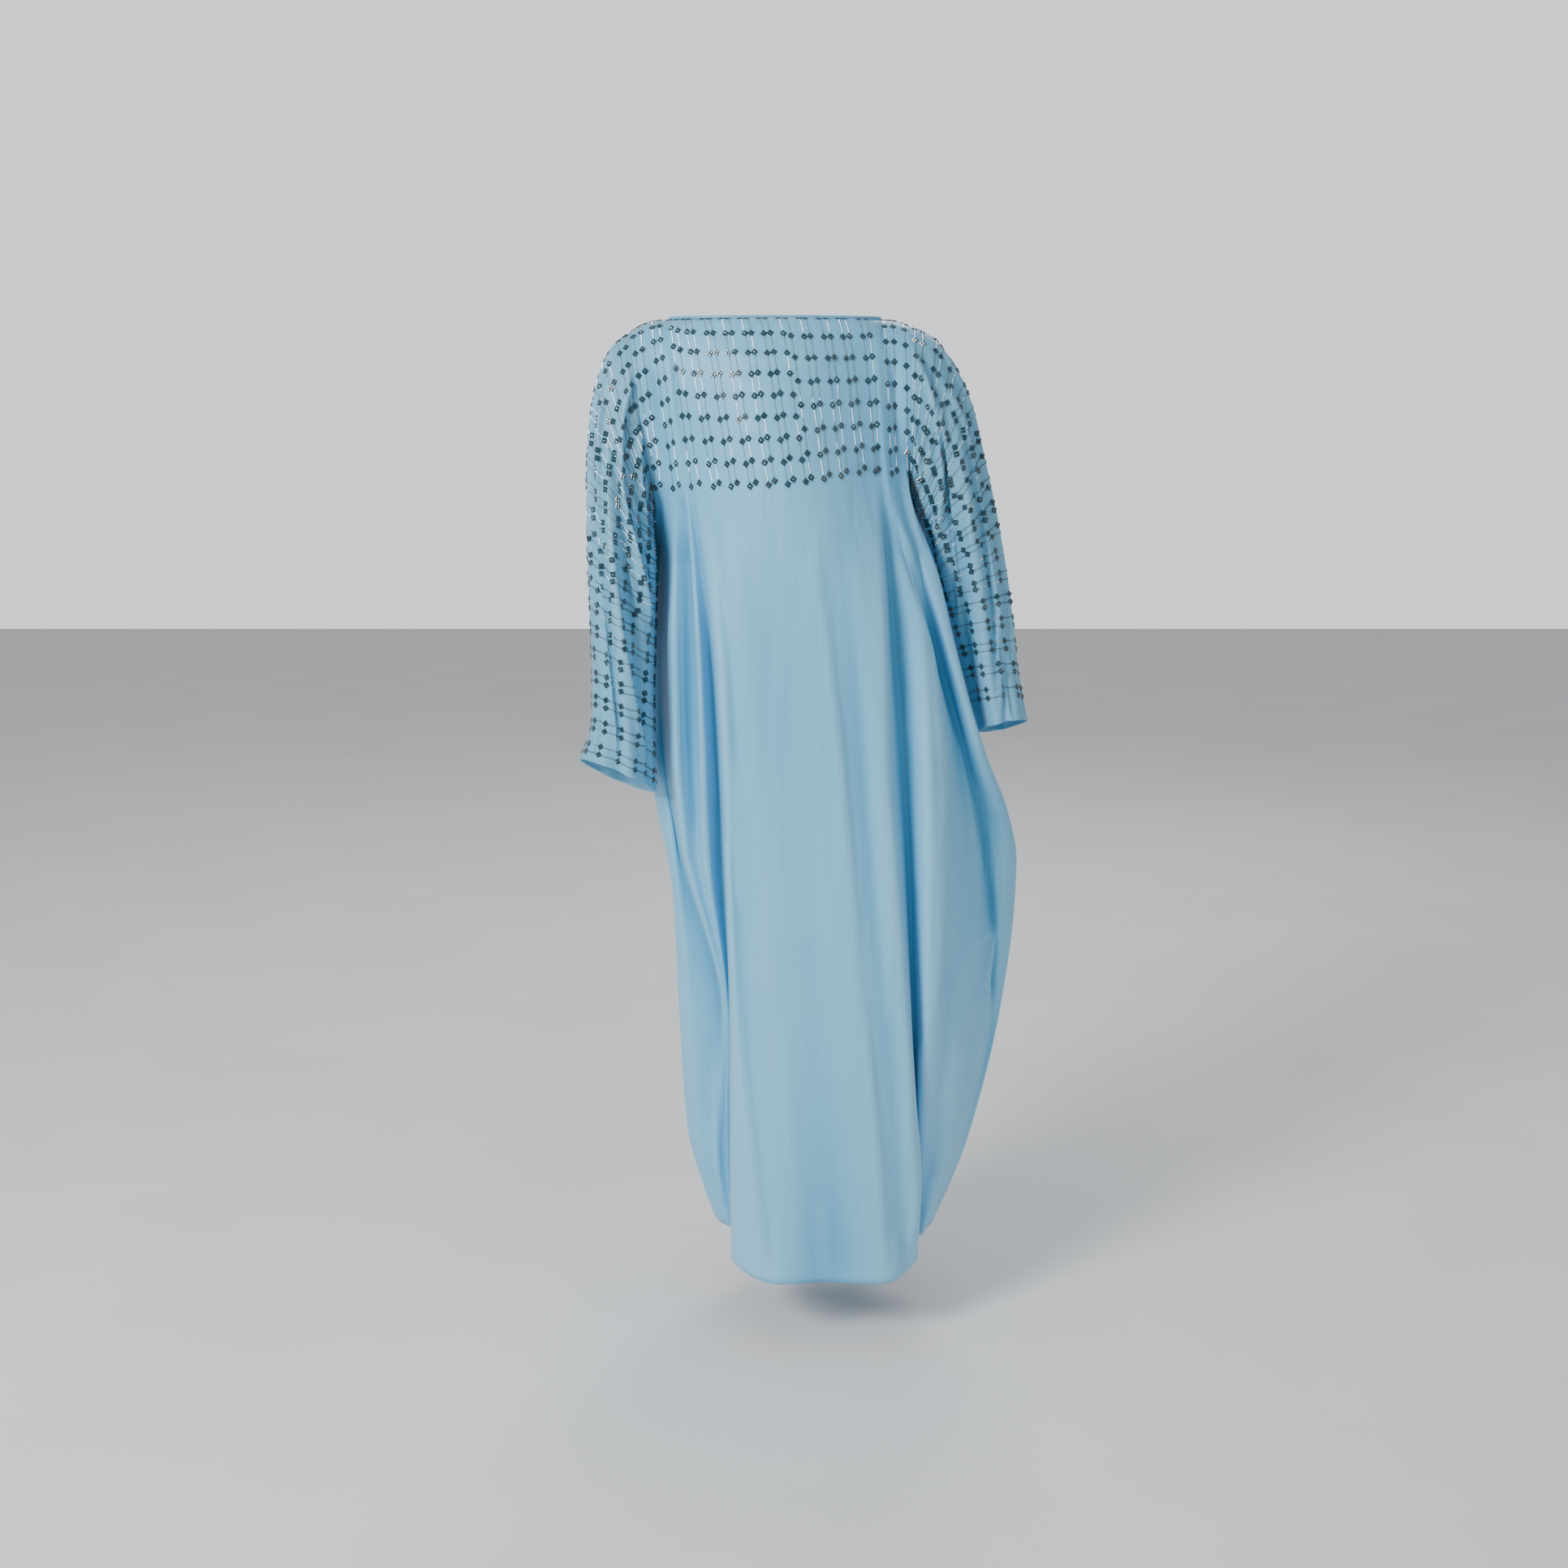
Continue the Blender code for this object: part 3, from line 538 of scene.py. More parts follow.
# On a sleeve a path runs through (share of the length, degrees round the ring)
RIGHT_CREASES = (
    ("sharp fold", "ring", ((0.01, 64), (0.2, 80), (0.4, 98), (0.5, 116), (0.6, 138),
        (0.72, 158)), 8,
        9.0, 0.85),
    ("long ridge", "ring", ((0.24, 42), (0.4, 53), (0.6, 63), (0.78, 73), (0.92, 86),
        (1.02, 92)), 8,
        7.5, 0.8),
    ("low fold", "ring", ((0.5, 78), (0.62, 86), (0.72, 96), (0.82, 112), (0.9, 129),
        (1.02, 156)), 8,
        7.0, 0.8),
    ("upper fold", "ring", ((0.02, 100), (0.14, 110), (0.3, 128), (0.42, 150)), 8, 6.0, 0.7),
    ("outer fold", "ring", ((0.08, 24), (0.3, 29), (0.5, 33), (0.7, 31)), 8, 5.0, 0.7),
    ("cuff fold", "ring", ((0.76, 34), (0.9, 44), (1.02, 50)), 8, -5.0, 0.4),
    ("elbow tuck", "ring", ((0.34, 124), (0.46, 140), (0.6, 162)), 8, -4.6, 0.4),
    ("elbow crumple", "ring", ((0.52, 102), (0.58, 112), (0.64, 126)), 6, 4.6, 0.5),
    ("back fold", "ring", ((0.1, 292), (0.4, 284), (0.8, 268), (1.02, 256)), 11, 7.0, -0.7),
    ("back fold high", "ring", ((0.03, 250), (0.3, 244), (0.6, 232)), 10, 5.6, 0.6),
    ("back outer fold", "ring", ((0.12, 334), (0.4, 326), (0.7, 330)), 9, 4.6, -0.6),
    ("back cuff fold", "ring", ((0.6, 316), (0.8, 308), (1.02, 304)), 9, 5.4, -0.6),
)
LEFT_CREASES = (
    ("sharp fold", "ring", ((0.0, 50), (0.15, 64), (0.35, 98), (0.48, 120), (0.58, 140)),
        8, 9.0, 0.85),
    ("middle fold", "ring", ((0.2, 72), (0.36, 84), (0.5, 96), (0.65, 118), (0.8, 146)),
        8, 7.0, 0.8),
    ("outer ridge", "ring", ((0.24, 58), (0.45, 50), (0.6, 55), (0.75, 60), (0.9, 88),
        (1.02, 108)), 8,
        7.5, 0.8),
    ("upper fold", "ring", ((0.02, 92), (0.12, 106), (0.26, 126), (0.38, 150)), 8, 6.0, 0.7),
    ("outer fold", "ring", ((0.16, 26), (0.5, 25), (0.7, 30), (0.9, 44)), 8, 5.4, 0.7),
    ("elbow tuck", "ring", ((0.4, 136), (0.55, 150), (0.7, 166)), 8, -4.6, 0.4),
    ("elbow crumple", "ring", ((0.5, 72), (0.57, 82), (0.64, 84)), 6, 4.4, 0.5),
    ("cuff fold", "ring", ((0.8, 16), (0.92, 24), (1.02, 30)), 8, -5.0, 0.4),
    ("cuff front fold", "ring", ((0.82, 60), (0.92, 66), (1.02, 74)), 8, -4.6, 0.4),
    ("back fold", "ring", ((0.1, 288), (0.4, 280), (0.8, 262), (1.02, 252)), 11, 7.0, -0.7),
    ("back fold high", "ring", ((0.03, 246), (0.3, 238), (0.6, 228)), 10, 5.6, 0.6),
    ("back outer fold", "ring", ((0.12, 332), (0.4, 324), (0.7, 328)), 9, 4.6, -0.6),
    ("back cuff fold", "ring", ((0.62, 312), (0.8, 306), (1.02, 300)), 9, 5.4, -0.6),
)


def crease_heights(creases, ahead, beside):
    """Height of all creases at each point. ahead runs along "down" lines and beside across them."""
    total = np.zeros_like(ahead)
    for crease in named(CREASE_COLUMNS, creases):
        run, off = (beside, ahead) if crease["runs"] == "across" else (ahead, beside)
        path = np.array(crease["path"], float)
        away = (off - np.interp(run, path[:, 0], path[:, 1])) / crease["wide"]
        if crease["runs"] == "ring":
            away = (away * crease["wide"] + 180) % 360 - 180
            away /= crease["wide"]
        flank = np.where(away * crease["lean"] > 0, 1 - 0.85 * abs(crease["lean"]), 1)
        start, end = path[0, 0], path[-1, 0]
        fade = min(0.3 * (end - start), 0.12 if crease["runs"] == "ring" else 60)
        grown = np.clip((run - start) / fade, 0, 1) * np.clip((end - run) / fade, 0, 1)
        grown = grown * grown * (3 - 2 * grown)
        total += crease["high"] * grown * np.exp(-((away / flank) ** 2))
    return total


def outward_normals(grid, closed, outwards):
    """Unit normals of a grid; outwards is 1 or -1, as the grid's rows run one way or the other."""
    if closed:
        across = np.roll(grid, -1, axis=1) - np.roll(grid, 1, axis=1)
    else:
        across = np.gradient(grid, axis=1)
    normal = np.cross(np.gradient(grid, axis=0), across) * outwards
    return normal / np.maximum(np.linalg.norm(normal, axis=2, keepdims=True), 1e-9)


def press(grid, creases, closed, outwards):
    """The grid with its creases, held still along every seam."""
    if closed:
        turns = 360 * np.arange(RING_STRIPS) / RING_STRIPS
        ahead, beside = np.meshgrid(RING_PLACES, turns, indexing="ij")
        edge = np.clip(ahead / 0.05, 0, 1)
    else:
        ahead, beside = -grid[:, :, 2] / MM, grid[:, :, 0] / MM
        columns = np.arange(grid.shape[1])
        near = np.minimum(columns, columns[::-1]) / 8
        edge = np.clip(near, 0, 1)[None] * np.clip(np.arange(grid.shape[0]) / 8, 0, 1)[:, None]
    normal = outward_normals(grid, closed, outwards)
    height = crease_heights(creases, ahead, beside) * edge
    return grid + normal * height[:, :, None] * MM


front_grid = press(front_grid, FRONT_CREASES, False, 1)
back_grid = press(back_grid, BACK_CREASES, False, -1)
right_grid = press(right_grid, RIGHT_CREASES, True, 1)
left_grid = press(left_grid, LEFT_CREASES, True, -1)
print("front normal points to", outward_normals(front_grid, False, 1)[90, 60].round(2))
print("back normal points to", outward_normals(back_grid, False, -1)[90, 60].round(2))
print("right sleeve's outer normal", outward_normals(right_grid, True, 1)[60, 0].round(2))
print("left sleeve's outer normal", outward_normals(left_grid, True, -1)[60, 0].round(2))

# %% [markdown]
# Each hem is the cloth turned up once and stitched, so its band stands a little proud of the rest.
# The grids then become shells: a wall of one cloth's thickness, with a map in metres for the weave
# and a mark of how deep each place lies in a fold, which the colour uses later for painted shade in
# the folds and painted light on the ridges.

# %% Hems, marks and shells
HEM_PROUD = 0.6  # how much the turned band stands out
CUFF_TURN = 8  # depth of the turned cuff
AROUND = (7, 9)  # rows and columns on each side that count as a place's surroundings
DEEPEST = 13  # a place sunk this far below its surroundings gets the full mark


def cloth_runs(grid, axis):
    """Distance run along the cloth, in metres, from the first row or the first column."""
    steps = np.linalg.norm(np.diff(grid, axis=axis), axis=2)
    start = np.zeros_like(np.take(steps, [0], axis=axis))
    return np.cumsum(np.concatenate([start, steps], axis=axis), axis=axis)


def turn_hem(grid, turn, closed, outwards):
    down = cloth_runs(grid, 0)
    left = (down[-1] - down) / MM
    proud = HEM_PROUD * np.clip((turn + 0.6 - left) / 1.2, 0, 1)
    return grid + outward_normals(grid, closed, outwards) * proud[:, :, None] * MM


def smoothed(values, width, axis, wrap):
    """Running mean over so many neighbours on each side."""
    pad = [(0, 0)] * values.ndim
    pad[axis] = (width, width)
    padded = np.pad(values, pad, mode="wrap" if wrap else "edge")
    total = np.zeros_like(values)
    for k in range(2 * width + 1):
        total += np.take(padded, range(k, k + values.shape[axis]), axis=axis)
    return total / (2 * width + 1)


def fold_marks(grid, closed, outwards):
    """0.5 on flat cloth, towards 1 in a valley and towards 0 on a ridge: the mask of painted shade
    and light.
    """
    around = smoothed(smoothed(grid, AROUND[1], 1, closed), AROUND[0], 0, False)
    sunk = ((around - grid) * outward_normals(grid, closed, outwards)).sum(axis=2)
    return np.clip(0.5 + sunk / (2 * DEEPEST * MM), 0, 1)


def grid_faces(rows, columns, closed, outwards):
    faces = []
    for r in range(rows - 1):
        for c in range(columns if closed else columns - 1):
            n = (c + 1) % columns
            quad = (r * columns + c, (r + 1) * columns + c, (r + 1) * columns + n, r * columns + n)
            faces.append(quad if outwards > 0 else quad[::-1])
    return faces


def shell(name, grid, closed, outwards):
    """The cloth as a thin shell that reaches inwards from the grid."""
    rows, columns = grid.shape[:2]
    mesh = bpy.data.meshes.new(name)
    faces = grid_faces(rows, columns, closed, outwards)
    mesh.from_pydata(grid.reshape(-1, 3).tolist(), [], faces)
    # The fold mark, which the colour turns into painted shade in folds and painted light on ridges
    marks = mesh.attributes.new("shade_mark", "FLOAT", "POINT")
    marks.data.foreach_set("value", fold_marks(grid, closed, outwards).ravel())
    down, across = cloth_runs(grid, 0).ravel(), cloth_runs(grid, 1).ravel()
    corners = np.empty(len(mesh.loops), dtype=np.int32)
    mesh.loops.foreach_get("vertex_index", corners)
    cloth_map = mesh.uv_layers.new(name="cloth")
    cloth_map.data.foreach_set("uv", np.stack([across[corners], down[corners]], axis=1).ravel())
    made = bpy.data.objects.new(name, mesh)
    bpy.context.scene.collection.objects.link(made)
    wall = made.modifiers.new("wall", "SOLIDIFY")
    wall.thickness = SHELL * MM
    wall.offset = -1
    evaluated = made.evaluated_get(bpy.context.evaluated_depsgraph_get())
    made.data = bpy.data.meshes.new_from_object(evaluated)
    made.data.name = name
    made.modifiers.remove(wall)
    made.data.shade_smooth()
    bpy.data.meshes.remove(mesh)
    return made


front_grid = turn_hem(front_grid, HEM_TURN, False, 1)
back_grid = turn_hem(back_grid, HEM_TURN, False, -1)
right_grid = turn_hem(right_grid, CUFF_TURN, True, 1)
left_grid = turn_hem(left_grid, CUFF_TURN, True, -1)
front = shell("front_cloth", front_grid, False, 1)
back = shell("back_cloth", back_grid, False, -1)
right_sleeve = shell("right_sleeve_cloth", right_grid, True, 1)
left_sleeve = shell("left_sleeve_cloth", left_grid, True, -1)
for piece in (front, back, right_sleeve, left_sleeve):
    print(piece.name, len(piece.data.polygons), "faces")

# %% [markdown]
# The neckline is bound with a narrow folded strip. It is a flat oval tube that follows the same
# curve as the tops of the two panels.

# %% The neck binding
BINDING_STEPS, BINDING_SIDES = 160, 14
CLOTH_MIDDLE = 0.75  # from the cloth's outer side to the middle of the solid's wall
SQUARED = 0.9  # keeps the squarish profile inside the binding's size


def neck_loop(steps):
    """Points round the neckline, on the middle of the cloth, as (across, depth)."""
    middle, half = (NECK_LEFT + NECK_RIGHT) / 2, (NECK_RIGHT - NECK_LEFT) / 2
    half -= CLOTH_MIDDLE
    found = []
    for k in range(steps):
        turn = 2 * math.pi * k / steps
        reach = NECK_FRONT_DEPTH if math.sin(turn) < 0 else NECK_BACK_DEPTH
        depth = (reach - CLOTH_MIDDLE) * math.sin(turn)
        found.append((middle + half * math.cos(turn), depth))
    return np.array(found)


loop = neck_loop(BINDING_STEPS)
along_loop = np.roll(loop, -1, axis=0) - np.roll(loop, 1, axis=0)
along_loop /= np.linalg.norm(along_loop, axis=1, keepdims=True)
binding_grid = np.empty((BINDING_STEPS, BINDING_SIDES, 3))
for s in range(BINDING_SIDES):
    turn = 2 * math.pi * s / BINDING_SIDES
    squarish = (abs(math.cos(turn)) ** 4 + abs(math.sin(turn)) ** 4) ** -0.25
    out = BINDING_THICK / 2 * math.cos(turn) * squarish * SQUARED
    up = BINDING_TALL / 2 * math.sin(turn) * squarish * SQUARED
    binding_grid[:, s, 0] = loop[:, 0] + along_loop[:, 1] * out
    binding_grid[:, s, 1] = loop[:, 1] - along_loop[:, 0] * out
    binding_grid[:, s, 2] = NECK_HEIGHT + SEAM_GAP + BINDING_TALL / 2 + up
binding_grid *= MM
binding_mesh = bpy.data.meshes.new("neck_strip")
faces = []
for k in range(BINDING_STEPS):
    for s in range(BINDING_SIDES):
        a, b = k * BINDING_SIDES, (k + 1) % BINDING_STEPS * BINDING_SIDES
        t = (s + 1) % BINDING_SIDES
        faces.append((a + s, b + s, b + t, a + t))
binding_mesh.from_pydata(binding_grid.reshape(-1, 3).tolist(), [], faces)
binding_mesh.shade_smooth()
neck_strip = bpy.data.objects.new("neck_strip", binding_mesh)
bpy.context.scene.collection.objects.link(neck_strip)
print("binding", len(faces), "faces")

# %% [markdown]
# The beadwork is sewn on in pairs of strands, with a small diamond of four stones about every
# 30 mm. A strand is first only a line of points on the cloth. Each point carries the direction away
# from the cloth, so that every bead and stone can lie flat on it.

# %% Lines that lie on the cloth
def on_cloth(grid, normals, row, column, closed):
    """Point and normal at a place between the grid's rows and columns."""
    rows, columns = grid.shape[:2]
    r = np.clip(row, 0, rows - 1.001)
    c = np.mod(column, columns) if closed else np.clip(column, 0, columns - 1.001)
    r0, c0 = np.floor(r).astype(int), np.floor(c).astype(int)
    r1, c1 = r0 + 1, (c0 + 1) % columns
    fr, fc = (r - r0)[:, None], (c - c0)[:, None]
    found = []
    for values in (grid, normals):
        top = values[r0, c0] * (1 - fc) + values[r0, c1] * fc
        bottom = values[r1, c0] * (1 - fc) + values[r1, c1] * fc
        found.append(top * (1 - fr) + bottom * fr)
    return found[0], found[1] / np.linalg.norm(found[1], axis=1, keepdims=True)


def line_object(name, lines):
    """All lines as one mesh of edges. A line is (points, directions away from the cloth)."""
    points, edges, outward, number = [], [], [], []
    for k, (line, away) in enumerate(lines):
        first = len(points)
        points += line.tolist()
        edges += [(first + i, first + i + 1) for i in range(len(line) - 1)]
        outward += away.tolist()
        number += [k] * len(line)
    mesh = bpy.data.meshes.new(name)
    mesh.from_pydata(points, edges, [])
    away = mesh.attributes.new("outward", "FLOAT_VECTOR", "POINT")
    away.data.foreach_set("vector", np.array(outward).ravel())
    strand = mesh.attributes.new("strand", "INT", "POINT")
    strand.data.foreach_set("value", number)
    made = bpy.data.objects.new(name, mesh)
    bpy.context.scene.collection.objects.link(made)
    return made


BEAD_LIFT = 0.5  # centre of a bead above the cloth
PAIR_STEP, PAIR_GAP = 26, 9  # between pairs on the yoke, and within a pair
PAIR_FIRST, PAIRS = -173, 15  # where the first pair lies across, and how many there are
LEFT_SHORTER = 5  # the left strand of a pair ends that much higher
YOKE_SLANT = 0.03  # how far a strand leans towards the left going down, as a share of the width
YOKE_END = ((-143, 230), (-114, 226), (-57, 225), (9, 221), (65, 214), (120, 206), (164, 211))


def yoke_lines(grid, outwards, lean):
    """Strands on the yoke, from the top edge down to where the photograph shows them end."""
    normals = outward_normals(grid, False, outwards)
    rows, columns = grid.shape[:2]
    level = grid[YOKE_FINE // 2, :, 0] / MM
    ends = np.array(YOKE_END, float)
    lines = []
    for p in range(PAIRS):
        for side in (-0.5, 0.5):
            across = PAIR_FIRST + p * PAIR_STEP + side * PAIR_GAP
            if not level[0] + 3 < across < level[-1] - 3:
                continue
            middle = np.interp(across, level, np.arange(columns))
            row = np.linspace(0, rows - 1.5, YOKE_SAMPLES)
            column = middle + lean * columns * (row / YOKE_FINE - 0.5)
            points, away = on_cloth(grid, normals, row, column, False)
            end = np.interp(across, ends[:, 0], ends[:, 1]) - (LEFT_SHORTER if side > 0 else 0)
            kept = (points[:, 2] / MM > -end) & (column > 1) & (column < columns - 2)
            lines.append((points[kept] + away[kept] * BEAD_LIFT * MM, away[kept]))
    return lines


RING_STEP, RING_GAP = 35, 12  # between pairs along the outer side, and within a pair
RING_FIRST, CUFF_PLAIN = 8, 20  # from the armhole to the first strand, and bare cloth at the cuff
RING_TURNS = (-170, 172)  # a strand's two ends meet on the inner side of the arm
RING_SAMPLES, YOKE_SAMPLES = 260, 500  # points of one strand's line


def sleeve_lines(grid, outwards):
    """Strands round a sleeve, in pairs, evenly spaced along its outer side."""
    normals = outward_normals(grid, True, outwards)
    outer = cloth_runs(grid, 0)[:, 0] / MM
    rows, columns = grid.shape[:2]
    lines = []
    at = RING_FIRST
    turns = np.linspace(*RING_TURNS, RING_SAMPLES) * columns / 360
    while at < outer[-1] - CUFF_PLAIN:
        for side in (0, RING_GAP):
            row = np.interp(at + side, outer, np.arange(rows))
            points, away = on_cloth(grid, normals, np.full(RING_SAMPLES, row), turns, True)
            lines.append((points + away * BEAD_LIFT * MM, away))
        at += RING_STEP
    return lines


front_lines = yoke_lines(front_grid, 1, YOKE_SLANT)
back_lines = yoke_lines(back_grid, -1, -YOKE_SLANT)
right_lines = sleeve_lines(right_grid, 1)
left_lines = sleeve_lines(left_grid, -1)
print("strands:", len(front_lines), len(back_lines), len(right_lines), len(left_lines))

# %% [markdown]
# One node tree strings the beads and sets the stones for all four pieces of cloth. Tiny beads touch
# along the strand, and every diamond is four small pointed stones round a centre.

# %% The bead tree
def new_tree(name, sockets):
    """A geometry tree with its group input and output. sockets: (name, kind, value)."""
    tree = bpy.data.node_groups.new(name, "GeometryNodeTree")
    for label, kind, value in sockets:
        socket = tree.interface.new_socket(label, in_out="INPUT", socket_type="NodeSocket" + kind)
        if value is not None:
            socket.default_value = value
    tree.interface.new_socket("Geometry", in_out="OUTPUT", socket_type="NodeSocketGeometry")
    return tree, tree.nodes.new("NodeGroupInput"), tree.nodes.new("NodeGroupOutput")


def add(tree, kind, inputs=(), **settings):
    """A node with its settings, and its inputs given as (name, value or socket)."""
    made = tree.nodes.new(kind)
    for name, value in settings.items():
        setattr(made, name, value)
    for name, value in inputs:
        if isinstance(value, bpy.types.NodeSocket):
            tree.links.new(value, made.inputs[name])
        else:
            made.inputs[name].default_value = value
    return made


def attribute(tree, name, kind):
    return add(
        tree, "GeometryNodeInputNamedAttribute", [("Name", name)], data_type=kind
    ).outputs[0]


def evenly(tree, curve, step):
    """Points along the curve, that far apart."""
    return add(
        tree, "GeometryNodeResampleCurve", [("Curve", curve), ("Length", step)], mode="LENGTH"
    ).outputs[0]


def placed(tree, points, instance, *more):
    """That instance on every point."""
    inputs = [("Points", points), ("Instance", instance), *more]
    return add(tree, "GeometryNodeInstanceOnPoints", inputs).outputs[0]


def lying_flat(tree):
    """Rotation that turns Z away from the cloth and X along the line."""
    away = attribute(tree, "outward", "FLOAT_VECTOR")
    tangent = add(tree, "GeometryNodeInputTangent")
    up = add(tree, "FunctionNodeAlignRotationToVector", [("Vector", away)], axis="Z")
    return add(
        tree,
        "FunctionNodeAlignRotationToVector",
        [("Rotation", up.outputs[0]), ("Vector", tangent.outputs[0])],
        axis="X",
        pivot_axis="Z",
    ).outputs[0]


def finished(tree, instances, material):
    real = add(tree, "GeometryNodeRealizeInstances", [("Geometry", instances)])
    return add(
        tree, "GeometryNodeSetMaterial", [("Geometry", real.outputs[0]), ("Material", material)]
    ).outputs[0]


bead_tree, given, result = new_tree("string_beads", (
    ("Strands", "Geometry", None),
    ("Bead step", "Float", 0.0021),
    ("Bead radius", "Float", 0.0008),
    ("Silver run", "Float", 0.030),
    ("Silver share", "Float", 0.36),
    ("Stone step", "Float", 0.029),
    ("Seed", "Int", 7),
    ("Smoke", "Material", None),
    ("Silver", "Material", None),
    ("Teal", "Material", None),
))
curve = add(bead_tree, "GeometryNodeMeshToCurve", [("Mesh", given.outputs["Strands"])]).outputs[0]
bead_places = evenly(bead_tree, curve, given.outputs["Bead step"])
bead = add(
    bead_tree,
    "GeometryNodeMeshIcoSphere",
    [("Radius", given.outputs["Bead radius"]), ("Subdivisions", 1)],
).outputs[0]
# One interval between two diamonds is silver or smoke as a whole
length = add(bead_tree, "GeometryNodeSplineParameter").outputs["Length"]
interval = add(
    bead_tree, "ShaderNodeMath", [(0, length), (1, given.outputs["Silver run"])], operation="DIVIDE"
).outputs[0]
interval = add(bead_tree, "ShaderNodeMath", [(0, interval)], operation="FLOOR").outputs[0]
# A number for each interval: more intervals are kept free for a strand than it can have
number = add(
    bead_tree,
    "ShaderNodeMath",
    [(0, attribute(bead_tree, "strand", "INT")), (1, 53.0), (2, interval)],
    operation="MULTIPLY_ADD",
).outputs[0]
silver_here = add(
    bead_tree,
    "FunctionNodeRandomValue",
    [
        ("Probability", given.outputs["Silver share"]),
        ("ID", number),
        ("Seed", given.outputs["Seed"]),
    ],
    data_type="BOOLEAN",
).outputs[3]
smoke_here = add(
    bead_tree, "FunctionNodeBooleanMath", [(0, silver_here)], operation="NOT"
).outputs[0]
branches = []
for chosen, material in ((silver_here, "Silver"), (smoke_here, "Smoke")):
    strung = placed(bead_tree, bead_places, bead, ("Selection", chosen))
    branches.append(finished(bead_tree, strung, given.outputs[material]))
stone = add(
    bead_tree,
    "GeometryNodeMeshCone",
    [("Vertices", 4), ("Radius Top", 0.0013), ("Radius Bottom", 0.0026), ("Depth", 0.0013)],
).outputs["Mesh"]
four = add(bead_tree, "GeometryNodeMeshCircle", [("Vertices", 4), ("Radius", 0.00275)]).outputs[0]
stones = placed(
    bead_tree,
    evenly(bead_tree, curve, given.outputs["Stone step"]),
    placed(bead_tree, four, stone),
    ("Rotation", lying_flat(bead_tree)),
    ("Scale", (1.08, 0.96, 1.0)),
)
branches.append(finished(bead_tree, stones, given.outputs["Teal"]))
joined = bead_tree.nodes.new("GeometryNodeJoinGeometry")
for branch in branches:
    bead_tree.links.new(branch, joined.inputs[0])
bead_tree.links.new(joined.outputs[0], result.inputs[0])

stitch_tree, given, result = new_tree("sew_stitches", (
    ("Line", "Geometry", None),
    ("Stitch step", "Float", 0.0032),
    ("Thread", "Material", None),
))
curve = add(stitch_tree, "GeometryNodeMeshToCurve", [("Mesh", given.outputs["Line"])]).outputs[0]
thread = add(
    stitch_tree, "GeometryNodeMeshUVSphere", [("Segments", 6), ("Rings", 4), ("Radius", 0.001)]
).outputs["Mesh"]
sewn = placed(
    stitch_tree,
    evenly(stitch_tree, curve, given.outputs["Stitch step"]),
    thread,
    ("Rotation", lying_flat(stitch_tree)),
    ("Scale", (1.25, 0.3, 0.28)),
)
stitch_tree.links.new(finished(stitch_tree, sewn, given.outputs["Thread"]), result.inputs[0])
for tree in (bead_tree, stitch_tree):
    print("tree", tree.name, len(tree.nodes), "nodes")

# %% [markdown]
# The cloth is a soft satin. Its colour is painted palest on the ridges, as painted light, and a
# deeper blue in the folds, as painted shade. A fine twill and faint upright streaks break up the
# highlights. The shared effects are groups that give colours, masks and heights only.

# %% Shared effects
def shader_group(name, inputs, outputs):
    tree = bpy.data.node_groups.new(name, "ShaderNodeTree")
    for label, kind, value in inputs:
        socket = tree.interface.new_socket(label, in_out="INPUT", socket_type="NodeSocket" + kind)
        if value is not None:
            socket.default_value = value
    for label, kind in outputs:
        tree.interface.new_socket(label, in_out="OUTPUT", socket_type="NodeSocket" + kind)
    return tree, tree.nodes.new("NodeGroupInput"), tree.nodes.new("NodeGroupOutput")


def blended(tree, share, a, b):
    """Colour between a and b."""
    mixer = tree.nodes.new("ShaderNodeMix")
    mixer.data_type = "RGBA"
    for socket, value in ((mixer.inputs[0], share), (mixer.inputs[6], a), (mixer.inputs[7], b)):
        if isinstance(value, bpy.types.NodeSocket):
            tree.links.new(value, socket)
        else:
            socket.default_value = value
    return mixer.outputs[2]


def math_node(tree, operation, *values, clamp=False):
    made = tree.nodes.new("ShaderNodeMath")
    made.operation = operation
    made.use_clamp = clamp
    for k, value in enumerate(values):
        if isinstance(value, bpy.types.NodeSocket):
            tree.links.new(value, made.inputs[k])
        else:
            made.inputs[k].default_value = value
    return made.outputs[0]


def scaled(tree, vector, factors):
    made = add(tree, "ShaderNodeVectorMath", [(0, vector), (1, factors)], operation="MULTIPLY")
    return made.outputs[0]


# Twill: fine slanted lines on the cloth's own map, and threads of uneven thickness
twill, given, result = shader_group(
    "satin_twill",
    (("Map", "Vector", None), ("Lines per metre", "Float", 900.0)),
    (("Height", "Float"), ("Thread", "Float")),
)
wave_scale = math_node(twill, "MULTIPLY", given.outputs["Lines per metre"], 0.628)
lines = add(
    twill,
    "ShaderNodeTexWave",
    [("Vector", given.outputs["Map"]), ("Scale", wave_scale), ("Distortion", 0.6), ("Detail", 1.0)],
    bands_direction="DIAGONAL",
)
slubs = add(
    twill,
    "ShaderNodeTexNoise",
    [("Vector", scaled(twill, given.outputs["Map"], (900.0, 60.0, 1.0))), ("Scale", 1.0)],
)
twill.links.new(lines.outputs["Fac"], result.inputs["Height"])
twill.links.new(slubs.outputs["Fac"], result.inputs["Thread"])

